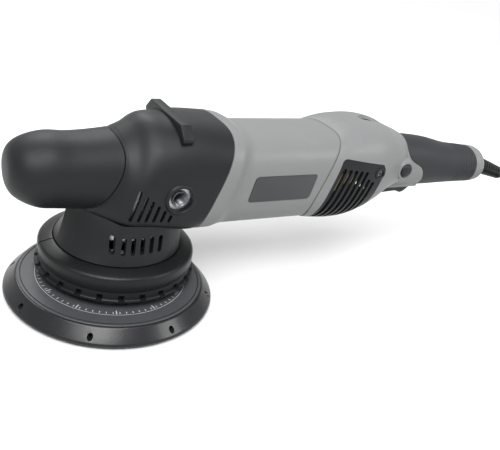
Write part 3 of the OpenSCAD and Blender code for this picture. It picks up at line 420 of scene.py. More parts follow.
def make_finishes(colours):
    """Every finish, under the name of its slot in the record."""
    plastics = {
        "soft_black": (colours.nose, 0.5, 0.0009, 0.00007, 0.07, 0.10),
        "black_shell": (colours.head, 0.46, 0.0007, 0.00005, 0.06, 0.10),
        "grey_shell": (colours.housing, 0.42, 0.0006, 0.00004, 0.03, 0.05),
        "grip_rubber": (colours.grip, 0.55, 0.0008, 0.00008, 0.06, 0.12),
        "black_rubber": ((0.006, 0.0064, 0.007), 0.36, 0.0012, 0.00005, 0.15, 0.06),
        "switch_plastic": ((0.012, 0.013, 0.014), 0.42, 0.0006, 0.00005),
        "plunger_red": ((0.42, 0.05, 0.035), 0.4, 0.0006, 0.00003),
        "cord_black": (colours.cord, 0.4, 0.0014, 0.00005, 0.12, 0.1),
        "carbon": ((0.045, 0.045, 0.046), 0.6, 0.0004, 0.00006, 0.2, 0.2),
    }
    metals = {
        "aluminium": ((0.66, 0.67, 0.69), 0.48, (1, 1, 1), 0.0009, 0.00009),
        "steel": ((0.62, 0.63, 0.65), 0.26, (12, 12, 1), 0.004, 0.00002),
        "screw_steel": ((0.16, 0.16, 0.17), 0.38, (1, 1, 1), 0.0008, 0.00003),
        "weight_iron": ((0.3, 0.3, 0.31), 0.45, (1, 1, 14), 0.005, 0.00005),
        "brass": ((0.75, 0.56, 0.24), 0.32, (1, 8, 1), 0.002, 0.00003),
    }
    return {
        **{name: moulded(name, tuple(colour), *rest) for name, (colour, *rest) in plastics.items()},
        **{name: metal(name, *rest) for name, rest in metals.items()},
        "badge_dark": moulded(
            "badge_dark", (0.03, 0.0325, 0.035), 0.34, 0.0005, 0.00002, 0.1, 0.04, Coat_Weight=0.2),
        "copper": wound_copper("copper", (0.3, 0.11, 0.045)),
        "plate_foam": foam_skin("plate_foam", (0.007, 0.0075, 0.0085)),
        "hook": hook_cloth("hook", (0.02, 0.02, 0.021)),
        "label_grey": printed_label("label_grey", tuple(colours.label)),
        "board_green": circuit_board("board_green", (0.03, 0.16, 0.06)),
    }


FINISHES = {}


# ---- Mesh tools ----

def mesh_of(bm, name):
    """A mesh with the bmesh's shape, which frees the bmesh."""
    mesh = bpy.data.meshes.new(name)
    bm.to_mesh(mesh)
    bm.free()
    return mesh


def placed(name, data):
    """A new object in the scene that holds the given data."""
    made = bpy.data.objects.new(name, data)
    bpy.context.scene.collection.objects.link(made)
    return made


def moved_row(row, along):
    """A ring moved along X."""
    return (row[0] + along, *row[1:])


def smooth_rows(rows, step):
    """Rings about step millimetres apart, on one smooth surface through the given ones."""
    gaps = [
        max(math.dist((a[0], a[3], a[4]), (b[0], b[3], b[4])), 0.5) for a, b in zip(rows, rows[1:])]
    slopes = [[(q - p) / gaps[0] for p, q in zip(rows[0], rows[1])]]
    for i in range(1, len(rows) - 1):
        before, after = gaps[i - 1], gaps[i]
        slopes.append([
            ((q - p) / before * after + (s - q) / after * before) / (before + after)
            for p, q, s in zip(rows[i - 1], rows[i], rows[i + 1])])
    slopes.append([(q - p) / gaps[-1] for p, q in zip(rows[-2], rows[-1])])
    found = []
    for i, gap in enumerate(gaps):
        parts = max(1, round(gap / step))
        for k in range(parts):
            t = k / parts
            a, b = 2 * t ** 3 - 3 * t * t + 1, t ** 3 - 2 * t * t + t
            c, d = 3 * t * t - 2 * t ** 3, t ** 3 - t * t
            found.append(tuple(
                a * p + b * gap * u + c * q + d * gap * v
                for p, q, u, v in zip(rows[i], rows[i + 1], slopes[i], slopes[i + 1])))
    return found + [tuple(rows[-1])]


def mixed_row(first, second, share):
    """A ring between two others."""
    return tuple(a + (b - a) * share for a, b in zip(first, second))


def straight_rows(rows, step, rounding):
    """Rings on straight stretches between the given ones, each corner eased by rounding."""
    eased = [rows[0]]
    for before, here, after in zip(rows, rows[1:], rows[2:]):
        near = mixed_row(here, before, min(0.4, rounding / (here[0] - before[0])))
        far = mixed_row(here, after, min(0.4, rounding / (after[0] - here[0])))
        eased += [near, mixed_row(here, mixed_row(near, far, 0.5), 0.5), far]
    eased.append(rows[-1])
    found = []
    for a, b in zip(eased, eased[1:]):
        parts = max(1, round((b[0] - a[0]) / step))
        found += [mixed_row(a, b, k / parts) for k in range(parts)]
    return found + [rows[-1]]


def rounded_power(value, power):
    """A signed power, for the outline of a ring."""
    return math.copysign(abs(value) ** power, value)


def ring_spot(row, angle, inset):
    """One point of a ring, drawn in by inset."""
    x, lean, middle, half, rise, fall, up, down, swell = row
    across, along = math.cos(angle), math.sin(angle)
    power = 2 / (up if along >= 0 else down)
    z = ((rise if along >= 0 else fall) - inset) * rounded_power(along, power)
    y = (half - inset) * rounded_power(across, power)
    return Vector((x + lean * z + swell * abs(across) ** 1.5, y, middle + z))


def ring_spots(row, inset=0.0):
    """Points of a ring, evenly spaced within each quarter."""
    spots = []
    each = SIDES // 4
    for quarter in range(4):
        fine = [ring_spot(row, math.pi / 2 * (quarter + k / 40), inset) for k in range(41)]
        run = [0.0]
        for a, b in zip(fine, fine[1:]):
            run.append(run[-1] + (b - a).length)
        at = 0
        for k in range(each):
            goal = run[-1] * k / each
            while run[at + 1] < goal:
                at += 1
            share = (goal - run[at]) / max(run[at + 1] - run[at], 1e-9)
            spots.append(fine[at].lerp(fine[at + 1], share))
    return spots


def loop_edges(bm, loop):
    """The edges round a loop of vertices."""
    return [bm.edges.get((a, b)) for a, b in zip(loop, loop[1:] + loop[:1])]


def next_loop(bm, loop, spots):
    """Extrudes a loop of vertices to the given places."""
    made = bmesh.ops.extrude_edge_only(bm, edges=loop_edges(bm, loop))["geom"]
    fresh = {v for v in made if isinstance(v, bmesh.types.BMVert)}
    moved = []
    for vert, spot in zip(loop, spots):
        far = next(e.other_vert(vert) for e in vert.link_edges if e.other_vert(vert) in fresh)
        far.co = spot
        moved.append(far)
    return moved


def skinned(loops, ring=False):
    """Skin over loops of points: a closed ring of them, or closed at both ends."""
    bm = bmesh.new()
    first = list(bmesh.ops.create_circle(bm, segments=len(loops[0]), radius=1.0)["verts"])
    for vert, spot in zip(first, loops[0]):
        vert.co = spot
    loop = first
    for spots in loops[1:]:
        loop = next_loop(bm, loop, spots)
    if ring:
        bmesh.ops.bridge_loops(bm, edges=loop_edges(bm, loop) + loop_edges(bm, first))
    else:
        caps = [bm.faces.new(first), bm.faces.new(loop)]
        bmesh.ops.poke(bm, faces=caps)
    bmesh.ops.recalc_face_normals(bm, faces=bm.faces)
    return bm


def solid(rows, inset=0.0):
    """Solid over a row of rings."""
    return skinned([ring_spots(row, inset) for row in rows])


def rounded_rim(row, lip, way):
    """The rings that round an end ring, from the end inwards; way is 1 at the front and -1 at the rear."""
    return [(row, lip), (moved_row(row, way * 0.3 * lip), 0.3 * lip), (moved_row(row, way * lip), 0.0)]


def open_shell(rows, wall, lip, groove=None):
    """Shell that is open at both ends, with rounded rims; groove gives an inset along X."""
    groove = groove or (lambda x: 0.0)
    start, end = rows[0], rows[-1]
    chain = [(start, wall), *rounded_rim(start, lip, 1)]
    chain += [(row, groove(row[0])) for row in rows[1:-1] if start[0] + lip < row[0] < end[0] - lip]
    chain += [*reversed(rounded_rim(end, lip, -1)), (end, wall)]
    chain += [(row, wall) for row in reversed(rows[1:-1:2])]
    return skinned([ring_spots(row, inset) for row, inset in chain], ring=True)


def turned(profile, steps=96):
    """Round piece about Z from a closed outline of (radius, height) points."""
    bm = bmesh.new()
    verts = [bm.verts.new((r, 0, z)) for r, z in profile]
    pairs = [
        (a, b) for a, b in zip(verts, verts[1:] + verts[:1]) if a.co.x > 1e-6 or b.co.x > 1e-6]
    edges = [bm.edges.new(pair) for pair in pairs]
    bmesh.ops.spin(
        bm, geom=verts + edges, cent=(0, 0, 0), axis=(0, 0, 1), angle=math.tau, steps=steps,
        use_merge=True, use_duplicate=False)
    bmesh.ops.remove_doubles(bm, verts=bm.verts, dist=1e-4)
    bmesh.ops.dissolve_degenerate(bm, edges=bm.edges, dist=1e-5)
    bmesh.ops.recalc_face_normals(bm, faces=bm.faces)
    return bm


def bevelled(bm, geom, offset, segments=3, affect="EDGES"):
    """Rounds the given edges or corners of a mesh."""
    bmesh.ops.bevel(
        bm, geom=geom, offset=offset, segments=segments, profile=0.5, affect=affect, material=-1,
        clamp_overlap=True)


def thickened(bm, face, depth):
    """Extrudes a flat face along Z into a closed solid."""
    made = bmesh.ops.extrude_face_region(bm, geom=[face])["geom"]
    bmesh.ops.translate(
        bm, vec=(0, 0, depth), verts=[v for v in made if isinstance(v, bmesh.types.BMVert)])
    bmesh.ops.recalc_face_normals(bm, faces=bm.faces)


def slab(outline, depth, corners=0.0, edge=0.0):
    """Flat piece with the given (x, y) outline, depth thick along Z from 0."""
    bm = bmesh.new()
    face = bm.faces.new([bm.verts.new((x, y, 0)) for x, y in outline])
    if corners:
        bevelled(bm, list(bm.verts), corners, 6, "VERTICES")
        face = next(iter(bm.faces))
    thickened(bm, face, depth)
    if edge:
        bevelled(bm, [e for e in bm.edges if e.calc_face_angle(0) > 0.9], edge)
    return bm


def block(size, at, edge=0.0):
    """Box of the given size round a middle point."""
    bm = bmesh.new()
    bmesh.ops.create_cube(bm, size=1.0)
    bmesh.ops.scale(bm, vec=size, verts=bm.verts)
    bmesh.ops.translate(bm, vec=at, verts=bm.verts)
    if edge:
        bevelled(bm, list(bm.edges), edge)
    return bm


def rod(radius, length, sides=48, end_radius=None):
    """Round bar along Z from 0."""
    bm = bmesh.new()
    bmesh.ops.create_cone(
        bm, cap_ends=True, segments=sides, radius1=radius,
        radius2=radius if end_radius is None else end_radius, depth=length)
    bmesh.ops.translate(bm, vec=(0, 0, length / 2), verts=bm.verts)
    return bm


def put(bm, turn=(0, 0, 0), at=(0, 0, 0)):
    """Turns a mesh by degrees about X, then Y, then Z, and moves it."""
    for angle, axis in zip(turn, "XYZ"):
        bmesh.ops.rotate(
            bm, cent=(0, 0, 0), matrix=Matrix.Rotation(math.radians(angle), 3, axis), verts=bm.verts)
    bmesh.ops.translate(bm, vec=at, verts=bm.verts)
    return bm


def mirrored(bm):
    """A copy on the other side of the middle plane."""
    copy = bm.copy()
    bmesh.ops.scale(copy, vec=(1, -1, 1), verts=copy.verts)
    bmesh.ops.reverse_faces(copy, faces=copy.faces)
    return copy


def gathered(*parts):
    """Several meshes in one."""
    whole = bmesh.new()
    for part in parts:
        held = mesh_of(part, "held")
        whole.from_mesh(held)
        bpy.data.meshes.remove(held)
    return whole


def both_sides(bm):
    """The mesh and its copy on the other side."""
    return gathered(mirrored(bm), bm)


def in_order(bm):
    """Sorts a mesh's elements by their places, so each run cuts and writes the same mesh."""
    def place(spot):
        x, y, z = (round(100 * c) for c in spot)
        return float(x + y * 2 ** 18 + z * 2 ** 36)
    bm.verts.sort(key=lambda vert: place(vert.co))
    bm.edges.sort(key=lambda edge: place(edge.verts[0].co + edge.verts[1].co))
    bm.faces.sort(key=lambda face: place(face.calc_center_median()))
    for elements in (bm.verts, bm.edges, bm.faces):
        elements.index_update()


def worked(bm, *steps):
    """The mesh after each (operation, tool) in turn: DIFFERENCE, UNION or INTERSECT."""
    def as_object(source, name):
        in_order(source)
        return placed(name, mesh_of(source, name))
    base = as_object(bm, "work")
    tools = []
    for operation, tool in steps:
        tools.append(as_object(tool, "tool"))
        change = base.modifiers.new("work", "BOOLEAN")
        change.operation = operation
        change.solver = "EXACT"
        change.object = tools[-1]
    bpy.context.view_layer.update()
    held = bpy.data.meshes.new_from_object(base.evaluated_get(bpy.context.evaluated_depsgraph_get()))
    result = bmesh.new()
    result.from_mesh(held)
    bpy.data.meshes.remove(held)
    for done in [base, *tools]:
        mesh = done.data
        bpy.data.objects.remove(done)
        bpy.data.meshes.remove(mesh)
    bmesh.ops.remove_doubles(result, verts=result.verts, dist=1e-4)
    bmesh.ops.dissolve_degenerate(result, edges=result.edges, dist=1e-4)
    if not result.faces:
        raise RuntimeError("a shape was cut away whole")
    return result


def add_piece(name, bm, body, slot, *nodes):
    """Makes a finished piece from a mesh in millimetres, in place of the given nodes."""
    bmesh.ops.scale(bm, vec=(MM, MM, MM), verts=bm.verts)
    mesh = mesh_of(bm, name)
    mesh.shade_smooth()
    mesh.set_sharp_from_angle(angle=math.radians(SHARP_ANGLE))
    mesh.materials.append(FINISHES[slot])
    piece = placed(name, mesh)
    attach(piece, body)
    if nodes:
        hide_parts(*nodes)
    return piece


# ---- Stage ----

CAMERA_AT = (-163.1, -403.2, 276.3)
CAMERA_AZIMUTH = -34.4
CAMERA_ELEVATION = 26.1
CAMERA_ROLL = 11.6
CAMERA_LENS = 47.9

# The lights, in metres, degrees, watts and watts to the square metre.
WORLD_STRENGTH = 0.72
SUN_STRENGTH = 2.9
SUN_SPREAD = 50
SUN_WAY = (0.35, 0.5, -1.25)
LAMPS = (
    ("key", (-0.45, -0.75, 1.25), 0.7, 9.0),
    ("side", (0.95, -0.75, 0.7), 0.5, 6.0),
    ("back", (0.1, 0.9, 1.0), 0.8, 8.0),
)
LAMP_AIM = (0.1, 0, 0.08)


def aimed(light, way):
    """Turns a light to shine along a direction."""
    light.rotation_mode = "QUATERNION"
    light.rotation_quaternion = Vector(way).to_track_quat("-Z", "Y")


class POLISHER_OT_stage(bpy.types.Operator):
    """Sets the camera, the pale floor and the soft lights."""

    bl_idname = "polisher.stage"
    bl_label = "Stage"

    def execute(self, context):
        scene = context.scene
        a, e, r = (math.radians(v) for v in (CAMERA_AZIMUTH, CAMERA_ELEVATION, CAMERA_ROLL))
        back = Vector((math.sin(a) * math.cos(e), -math.cos(a) * math.cos(e), math.sin(e)))
        level = Vector((math.cos(a), math.sin(a), 0))
        upright = back.cross(level)
        right = math.cos(r) * level + math.sin(r) * upright
        up = -math.sin(r) * level + math.cos(r) * upright
        camera = placed("camera", bpy.data.cameras.new("camera"))
        camera.data.lens = CAMERA_LENS
        camera.data.sensor_width = 36.0
        camera.data.clip_start = 0.01
        camera.matrix_world = Matrix.Translation(Vector(CAMERA_AT) * MM) @ Matrix(
            (right, up, back)).transposed().to_4x4()
        scene.camera = camera

        bm = bmesh.new()
        bmesh.ops.create_grid(bm, x_segments=1, y_segments=1, size=6.0)
        mesh = mesh_of(bm, "floor")
        floor = placed("floor", mesh)
        floor.location.z = -FLOOR_DROP * MM
        pale = Recipe("floor_pale")
        cloud = pale.noise(pale.place(), 0.6, 2.0)
        mesh.materials.append(pale.finish(
            pale.blend(cloud, (0.62, 0.62, 0.62), (0.65, 0.65, 0.65)), 0.8 + cloud * 0.05))

        world = bpy.data.worlds.new("studio")
        world.use_nodes = True
        background = world.node_tree.nodes["Background"]
        background.inputs["Color"].default_value = (1, 1, 1, 1)
        background.inputs["Strength"].default_value = WORLD_STRENGTH
        scene.view_settings.view_transform = "Standard"
        scene.world = world
        sun = bpy.data.lights.new("daylight", "SUN")
        sun.energy = SUN_STRENGTH
        sun.angle = math.radians(SUN_SPREAD)
        aimed(placed("daylight", sun), SUN_WAY)
        for name, at, size, power in LAMPS:
            lamp = bpy.data.lights.new(name, "AREA")
            lamp.shape = "DISK"
            lamp.size = size
            lamp.energy = power
            light = placed(name, lamp)
            light.location = at
            aimed(light, Vector(LAMP_AIM) - Vector(at))
        return {"FINISHED"}


# ---- Cord and plug ----

def coil_points(radius, pitch):
    """Points of the coil, wound in and out again in layers, clockwise from where the cord comes in."""
    found = []
    turns = COIL_LAYERS * COIL_TURNS - 0.75
    per_turn = 40
    middle = (coil_low + coil_high) / 2
    for k in range(1, round(turns * per_turn) + 1):
        u = k / per_turn
        turn = min(int(u), COIL_LAYERS * COIL_TURNS - 1)
        part = u - turn
        layer, place = divmod(turn, COIL_TURNS)
        inward = layer % 2 == 0
        at = place if inward else COIL_TURNS - 1 - place
        r, z = radius - pitch * at, layer * pitch
        last_of_layer = place == COIL_TURNS - 1
        start, length = (0.3, 0.33) if last_of_layer else (0.63, 0.37)
        ease = 0.5 - 0.5 * math.cos(math.pi * min(1.0, max(0.0, (part - start) / length)))
        if last_of_layer:
            z += pitch * ease
        else:
            r += pitch * ease * (-1 if inward else 1)
        angle = math.pi / 2 - math.tau * u
        found.append(Vector((
            middle.x + r * math.cos(angle), middle.y + r * math.sin(angle), pitch / 2 + z)))
    return found


def smooth_line(points, step):
    """Points about step apart on a smooth line through the given ones."""
    points = [Vector(p) for p in points]
    found = []
    for i, (b, c) in enumerate(zip(points, points[1:])):
        a = points[max(i - 1, 0)]
        d = points[min(i + 2, len(points) - 1)]
        parts = max(1, round((c - b).length / step))
        for k in range(parts):
            t = k / parts
            found.append(0.5 * (
                2 * b + (c - a) * t + (2 * a - 5 * b + 4 * c - d) * t * t
                + (3 * b - a - 3 * c + d) * t ** 3))
    return found + [points[-1]]


class POLISHER_OT_cord(bpy.types.Operator):
    """Lays the cord in its coil and makes the strain relief and the plug."""

    bl_idname = "polisher.cord"
    bl_label = "Cord and plug"

    def execute(self, context):
        sizes = context.scene.polisher_sizes
        pitch = sizes.cord_d
        radius = (coil_high.x - coil_low.x) / 2 - pitch / 2
        entry = Vector((node_middle("cord_coil").x, 0, pitch / 2))
        line = smooth_line([*CORD_ROUTE, entry], 6)
        line += coil_points(radius, pitch)
        line += smooth_line([line[-1], *PLUG_ROUTE], 5)[1:]
        length = sum((b - a).length for a, b in zip(line, line[1:]))

        curve = bpy.data.curves.new("cord", "CURVE")
        curve.dimensions = "3D"
        curve.bevel_depth = pitch / 2 * MM
        curve.bevel_resolution = 4
        curve.use_fill_caps = True
        spline = curve.splines.new("POLY")
        spline.points.add(len(line) - 1)
        for point, spot in zip(spline.points, line):
            point.co = (*(spot * MM), 1.0)
        curve.materials.append(FINISHES["cord_black"])
        cord = placed("cord", curve)
        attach(cord, "housing")
        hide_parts("power_cord", "cord_coil", "plug_lead")

        plug_end = Vector(PLUG_ROUTE[-1])
        profile = [
            (4, -1), (5.6, -1), (6.2, 0), (6.2, 2), (5.4, 2.6), (5.4, 4), (6.6, 4.6), (6.6, 6.6),
            (5.8, 7.2), (5.8, 8.6), (7.4, 9.2), (7.4, 11.2), (6.8, 11.8), (6.8, 13), (9, 15.6),
            (13, 17), (15.2, 18.2), (16, 20), (16, 30), (17.2, 32), (18, 33.5), (18, 43), (17, 44),
            (12, 44), (12, 43), (0, 43), (0, 0), (4, 0)]
        body = worked(
            turned(profile),
            ("DIFFERENCE", gathered(*(
                put(block((6, 1.6, 9), (0, 17.3, 25.5), 0.6), (0, 0, 30 * k)) for k in range(12)))))
        plug = add_piece("plug", put(body, (90, 0, 0), plug_end), "housing", "cord_black", "plug_body")
        pin = turned([(0, 42), (2.35, 42), (2.35, 61), (1.8, 62.4), (0, 63)], 32)
        pins = gathered(*(
            put(pin.copy(), (90, 0, 0), plug_end + Vector((s * 9.5, 0, 0))) for s in (-1, 1)))
        add_piece("plug_prongs", pins, "housing", "steel", "plug_pins")

        boot_length, root, tip, bore = 44, 8.2, 5.8, 4.2
        ribs = 10
        rib_pitch = boot_length / ribs
        profile = [(bore, -3), (root, -3)]
        for k in range(ribs):
            x = rib_pitch * k
            outer = root + (tip - root) * x / boot_length
            profile += [
                (outer, x + 0.2), (outer, x + 2.6), (outer - 0.4, x + 3.0), (outer - 1.7, x + 3.0),
                (outer - 1.7, x + rib_pitch), (outer - 0.6, x + rib_pitch)]
        profile += [(tip - 1.0, boot_length), (bore, boot_length)]
        rail = block((2.2, 2 * root - 1.6, boot_length - 2), (0, 0, boot_length / 2), 0.5)
        hole = put(rod(bore, 2 * boot_length), at=(0, 0, -10))
        sleeve = worked(turned(profile, 64), ("UNION", rail), ("DIFFERENCE", hole))
        put(sleeve, (0, 90 + BOOT_TILT, 0), (tail_x, 0, axis_z - 4))
        add_piece("cord_boot", sleeve, "housing", "black_rubber", "strain_relief")
        return {"FINISHED"}


# ---- Head ----

class POLISHER_OT_nose(bpy.types.Operator):
    """Makes the soft nose grip."""

    bl_idname = "polisher.nose"
    bl_label = "Nose grip"

    def execute(self, context):
        sizes = context.scene.polisher_sizes
        rows = smooth_rows(NOSE_RINGS, 2.0)
        end = moved_row(rows[-1], -sizes.seam)
        chain = [(row, 0.0) for row in rows[:-1]]
        chain += [*reversed(rounded_rim(end, sizes.lip, -1)), (end, sizes.wall)]
        chain += [(row, sizes.wall) for row in reversed(rows[6:-1:2])]
        shell = skinned([ring_spots(row, inset) for row, inset in chain])
        add_piece("nose_cover", shell, "housing", "soft_black", "nose_grip")
        return {"FINISHED"}


def stood_slot(width, height, depth):
    """Slot cutter that stands in the XZ plane from its foot, with round ends, depth deep along Y."""
    half = width / 2
    bm = slab([(-half, 0), (half, 0), (half, height), (-half, height)], depth, corners=half * 0.98)
    return put(bm, (90, 0, 0), (0, depth / 2, 0))


class POLISHER_OT_head(bpy.types.Operator):
    """Makes the head cover with its slots and handle bosses, the bumper and the handle inserts."""

    bl_idname = "polisher.head"
    bl_label = "Head"

    def execute(self, context):
        sizes = context.scene.polisher_sizes
        rows = smooth_rows(HEAD_RINGS, 2.0)
        rows = [moved_row(rows[0], sizes.seam), *rows[1:-1], moved_row(rows[-1], -sizes.seam)]
        shell = open_shell(rows, sizes.wall, sizes.lip)
        slots = [
            put(
                stood_slot(2.3, 22.4 - 3.3 * i, 18), (0, 16, 0),
                (-9 + 5.4 * i, -SIDE_FACE, axis_z - 17 - 0.3 * i))
            for i in range(6)]
        bore = 8.6
        boss = put(
            turned([
                (bore, -6), (bore, 0.8), (9.0, 1.35), (9.8, 1.5), (10.5, 1.2), (11.1, 0.4), (11.5, -0.5),
                (12.6, -1.2), (13.4, -2.2), (13.4, -6)], 72),
            (90, 0, 0), (insert_at.x, -SIDE_FACE, insert_at.z))
        opening = put(rod(bore, 40), (90, 0, 0), (insert_at.x, -20, insert_at.z))
        cover = worked(
            shell,
            ("DIFFERENCE", both_sides(opening)),
            ("UNION", both_sides(boss)),
            ("DIFFERENCE", both_sides(gathered(*slots))),
            ("DIFFERENCE", rod(31.5, axis_z - 6)),
            ("DIFFERENCE", block((30, 52, 60), (18, 0, axis_z - 36))))
        add_piece("head_shell", cover, "housing", "black_shell", "head_cover")

        top = axis_z + 45.6
        half = [(0, top), (26.5, top), (34, top - 7.2), (34.6, top - 9.5), (20, top - 25), (0, top - 25)]
        outline = half + [(-y, z) for y, z in reversed(half[1:-1])]
        bumper = put(slab(outline, 8.0, edge=0.8), (90, 0, 90), (24.7, 0, 0))
        bumper = worked(bumper, ("DIFFERENCE", solid(smooth_rows(HEAD_RINGS, 4.0), -0.05)))
        add_piece("head_bumper", bumper, "housing", "soft_black", "top_bumper")

        thread = [(4.6 if k % 2 else 4.0, -2.2 - 0.6 * k) for k in range(18)]
        insert = turned(
            [(6, -14), (6, -1.6), (5.7, -1.2), (5.3, -1.2), (4.9, -1.6), *thread, (4.6, -14)], 48)
        put(insert, (90, 0, 0), (insert_at.x, -SIDE_FACE - 0.4, insert_at.z))
        add_piece("handle_sockets", both_sides(insert), "housing", "screw_steel", "handle_inserts")
        return {"FINISHED"}


def soft_least(values, sharpness):
    """The least of some numbers, with the change from one to another eased."""
    return -math.log(sum(math.exp(-sharpness * v) for v in values)) / sharpness


SKIRT_FOOT = 38.9
SKIRT_FOOT_R = 45.3
SKIRT_REACH = 44.0
SKIRT_SIDE = 40.0
SKIRT_FACE = 33.0
SKIRT_FACE_AT = 147
SKIRT_STEP = -23
RING_BORE = 42.2
SEAT_R = 44.3
SEAT_FOOT = 26


def skirt_spots(share, inset, covers):
    """Points round the skirt at a share of its height, which stops just below the covers over it."""
    spots = []
    for i in range(SIDES):
        angle = math.tau * i / SIDES
        turn = math.degrees(math.atan2(math.sin(angle), math.cos(angle)))
        limits = [SKIRT_REACH, SKIRT_SIDE / max(abs(math.sin(angle)), 0.4)]
        lean = math.cos(math.radians(abs(abs(turn) - SKIRT_FACE_AT)))
        if lean > 0.5:
            limits.append(SKIRT_FACE / lean)
        wide = soft_least(limits, 0.9)
        ease = 1 - (1 - share) ** 1.5
        radius = SKIRT_FOOT_R * (1 - ease) + wide * ease - inset
        edge = (wide - inset) * Vector((math.cos(angle), math.sin(angle), 0))
        rise = -0.09 * edge.x if edge.x > SKIRT_STEP else 2.1 + min((SKIRT_STEP - edge.x) * 0.36, 2)
        edge.z = SKIRT_FOOT
        met = [cover.ray_cast(edge, Vector((0, 0, 1)))[0] for cover in covers]
        top = min([axis_z - 21.4 + rise, *(spot.z - 0.15 for spot in met if spot)])
        spots.append(Vector((
            radius * math.cos(angle), radius * math.sin(angle), SKIRT_FOOT + (top - SKIRT_FOOT) * share)))
    return spots


def round_spots(radius, z):
    """Points of a level circle round the spindle."""
    return [
        Vector((radius * math.cos(math.tau * i / SIDES), radius * math.sin(math.tau * i / SIDES), z))
        for i in range(SIDES)]


class POLISHER_OT_skirt(bpy.types.Operator):
    """Makes the skirt with its slots, the shroud ring and the vent ring."""

    bl_idname = "polisher.skirt"
    bl_label = "Skirt and rings"

    def execute(self, context):
        sizes = context.scene.polisher_sizes
        shares = [k / 12 for k in range(13)]
        loops = [
            round_spots(RING_BORE, SEAT_FOOT), round_spots(SEAT_R, SEAT_FOOT),
            round_spots(SEAT_R, SKIRT_FOOT - 0.6), round_spots(SEAT_R + 0.4, SKIRT_FOOT - 0.1)]
        covers = []
        for rows in (
                smooth_rows(NOSE_RINGS, 2.0), smooth_rows(HEAD_RINGS, 2.0),
                straight_rows(BARREL_RINGS, 2.0, 1.5)):
            cover = solid(rows, 0)
            covers.append(BVHTree.FromBMesh(cover))
            cover.free()
        loops += [skirt_spots(s, 0, covers) for s in shares]
        loops += [skirt_spots(1, 0.5, covers), skirt_spots(1, sizes.wall, covers)]
        loops += [skirt_spots(s, sizes.wall, covers) for s in reversed(shares[:-1:2])]
        loops += [round_spots(RING_BORE, SKIRT_FOOT - 0.9)]
        slots = [
            put(stood_slot(3.1, 12.5, 30), (0, 4, 0), (-18.5 + 6.6 * i, -SIDE_FACE, SKIRT_FOOT + 7.7))
            for i in range(6)]
        skirt = worked(skinned(loops, ring=True), ("DIFFERENCE", both_sides(gathered(*slots))))
        add_piece("skirt_shell", skirt, "housing", "black_shell", "skirt")

        low, high = shroud_foot, SKIRT_FOOT - 0.3
        ring = turned([
            (44.6, low), (shroud_r - 1.6, low), (shroud_r - 0.5, low + 0.5), (shroud_r, low + 1.6),
            (shroud_r, high - 5.2), (shroud_r - 0.3, high - 3.9), (shroud_r - 1.1, high - 3.0),
            (shroud_r - 2.2, high - 2.5), (49.0, high - 0.9), (47.0, high - 0.4), (46.1, high - 0.3),
            (45.6, high - 0.8), (44.6, high - 1.0)], SIDES)
        split = put(block((22, 1.1, 30), (56, 0, 32)), (0, 0, 175))
        shroud = worked(ring, ("DIFFERENCE", split))
        add_piece("shroud_band", shroud, "housing", "black_rubber", "shroud_ring")

        foot, head = vent_foot, shroud_foot - 0.1
        crown = turned([
            (52.6, foot), (57.1, foot), (57.6, foot + 0.5), (57.6, foot + 1.9), (57.1, foot + 2.4),
            (55.2, foot + 2.6), (55, head), (RING_BORE + 0.4, head), (RING_BORE + 0.4, head - 2),
            (52.6, head - 2)], SIDES)
        notches = gathered(*(
            put(block((11, 4.2, 3.7), (56, 0, foot + 2.8), 0.5), (0, 0, 15 * i)) for i in range(24)))
        crown = worked(crown, ("DIFFERENCE", notches))
        add_piece("vent_crown", crown, "housing", "black_shell", "vent_ring")
        return {"FINISHED"}


# ---- Backing plate ----

class POLISHER_OT_plate(bpy.types.Operator):
    """Makes the backing plate: its foam rim, label disc and hook face."""

    bl_idname = "polisher.plate"
    bl_label = "Backing plate"

    def execute(self, context):
        sizes = context.scene.polisher_sizes
        top = plate_top
        rim = turned([
            (7, hook_t), (plate_r - 1.1, hook_t), (plate_r - 0.35, hook_t + 0.3), (plate_r, hook_t + 1.0),
            (plate_r - 0.15, hook_t + 1.9), (plate_r - 0.9, hook_t + 2.9), (plate_r - 4.4, hook_t + 6.4),
            (plate_r - 7.4, top - 0.8), (plate_r - 8.0, top - 0.2), (plate_r - 8.7, top),
            (22, top), (22, top - 1.2), (34, top - 1.2), (34, 5), (7, 5)], SIDES)
        holes = [
            put(rod(2.0, 24, 24), (0, 90, 0), (plate_r - 21, 0, 6.9)) for _ in range(sizes.rim_holes)]
        for i, hole in enumerate(holes):
            put(hole, (0, 0, 360 * (i + 0.35) / sizes.rim_holes))
        if holes:
            rim = worked(rim, ("DIFFERENCE", gathered(*holes)))
        at = (plate_at.x, plate_at.y, 0)
        add_piece("plate_rim", put(rim, at=at), "plate", "plate_foam", "plate_foam")

        up = label_top
        disc = turned([
            (22, top), (label_r, top), (label_r, up - 0.3), (label_r - 0.3, up), (label_r - 1.8, up),
            (label_r - 1.9, up - 0.45), (label_r - 2.4, up - 0.45), (label_r - 2.5, up), (22.3, up),
            (22, up - 0.3)], SIDES)
        add_piece("label_disc", put(disc, at=at), "plate", "label_grey", "plate_label")

        hooks = turned([
            (7, 0.1), (7.4, 0), (plate_r - 2.1, 0), (plate_r - 1.5, 0.5), (plate_r - 1.5, hook_t),
            (7, hook_t)], SIDES)
        add_piece("hook_disc", put(hooks, at=at), "plate", "hook", "hook_face")
        return {"FINISHED"}


# ---- Motor housing ----

BADGE = ((81, -9.5), (135, -9.5), (139, 10), (85, 10))


def badge_slab(grow, depth, out):
    """The badge's rounded outline on the left side, from its outer face inwards."""
    outline = [
        (x + (grow if x > 100 else -grow), axis_z + z + (grow if z > 0 else -grow)) for x, z in BADGE]
    bm = slab(outline, depth, corners=2.6 + grow, edge=0 if grow else 0.25)
    return put(bm, (90, 0, 0), (0, -37.9 - 0.3 - out + depth, 0))


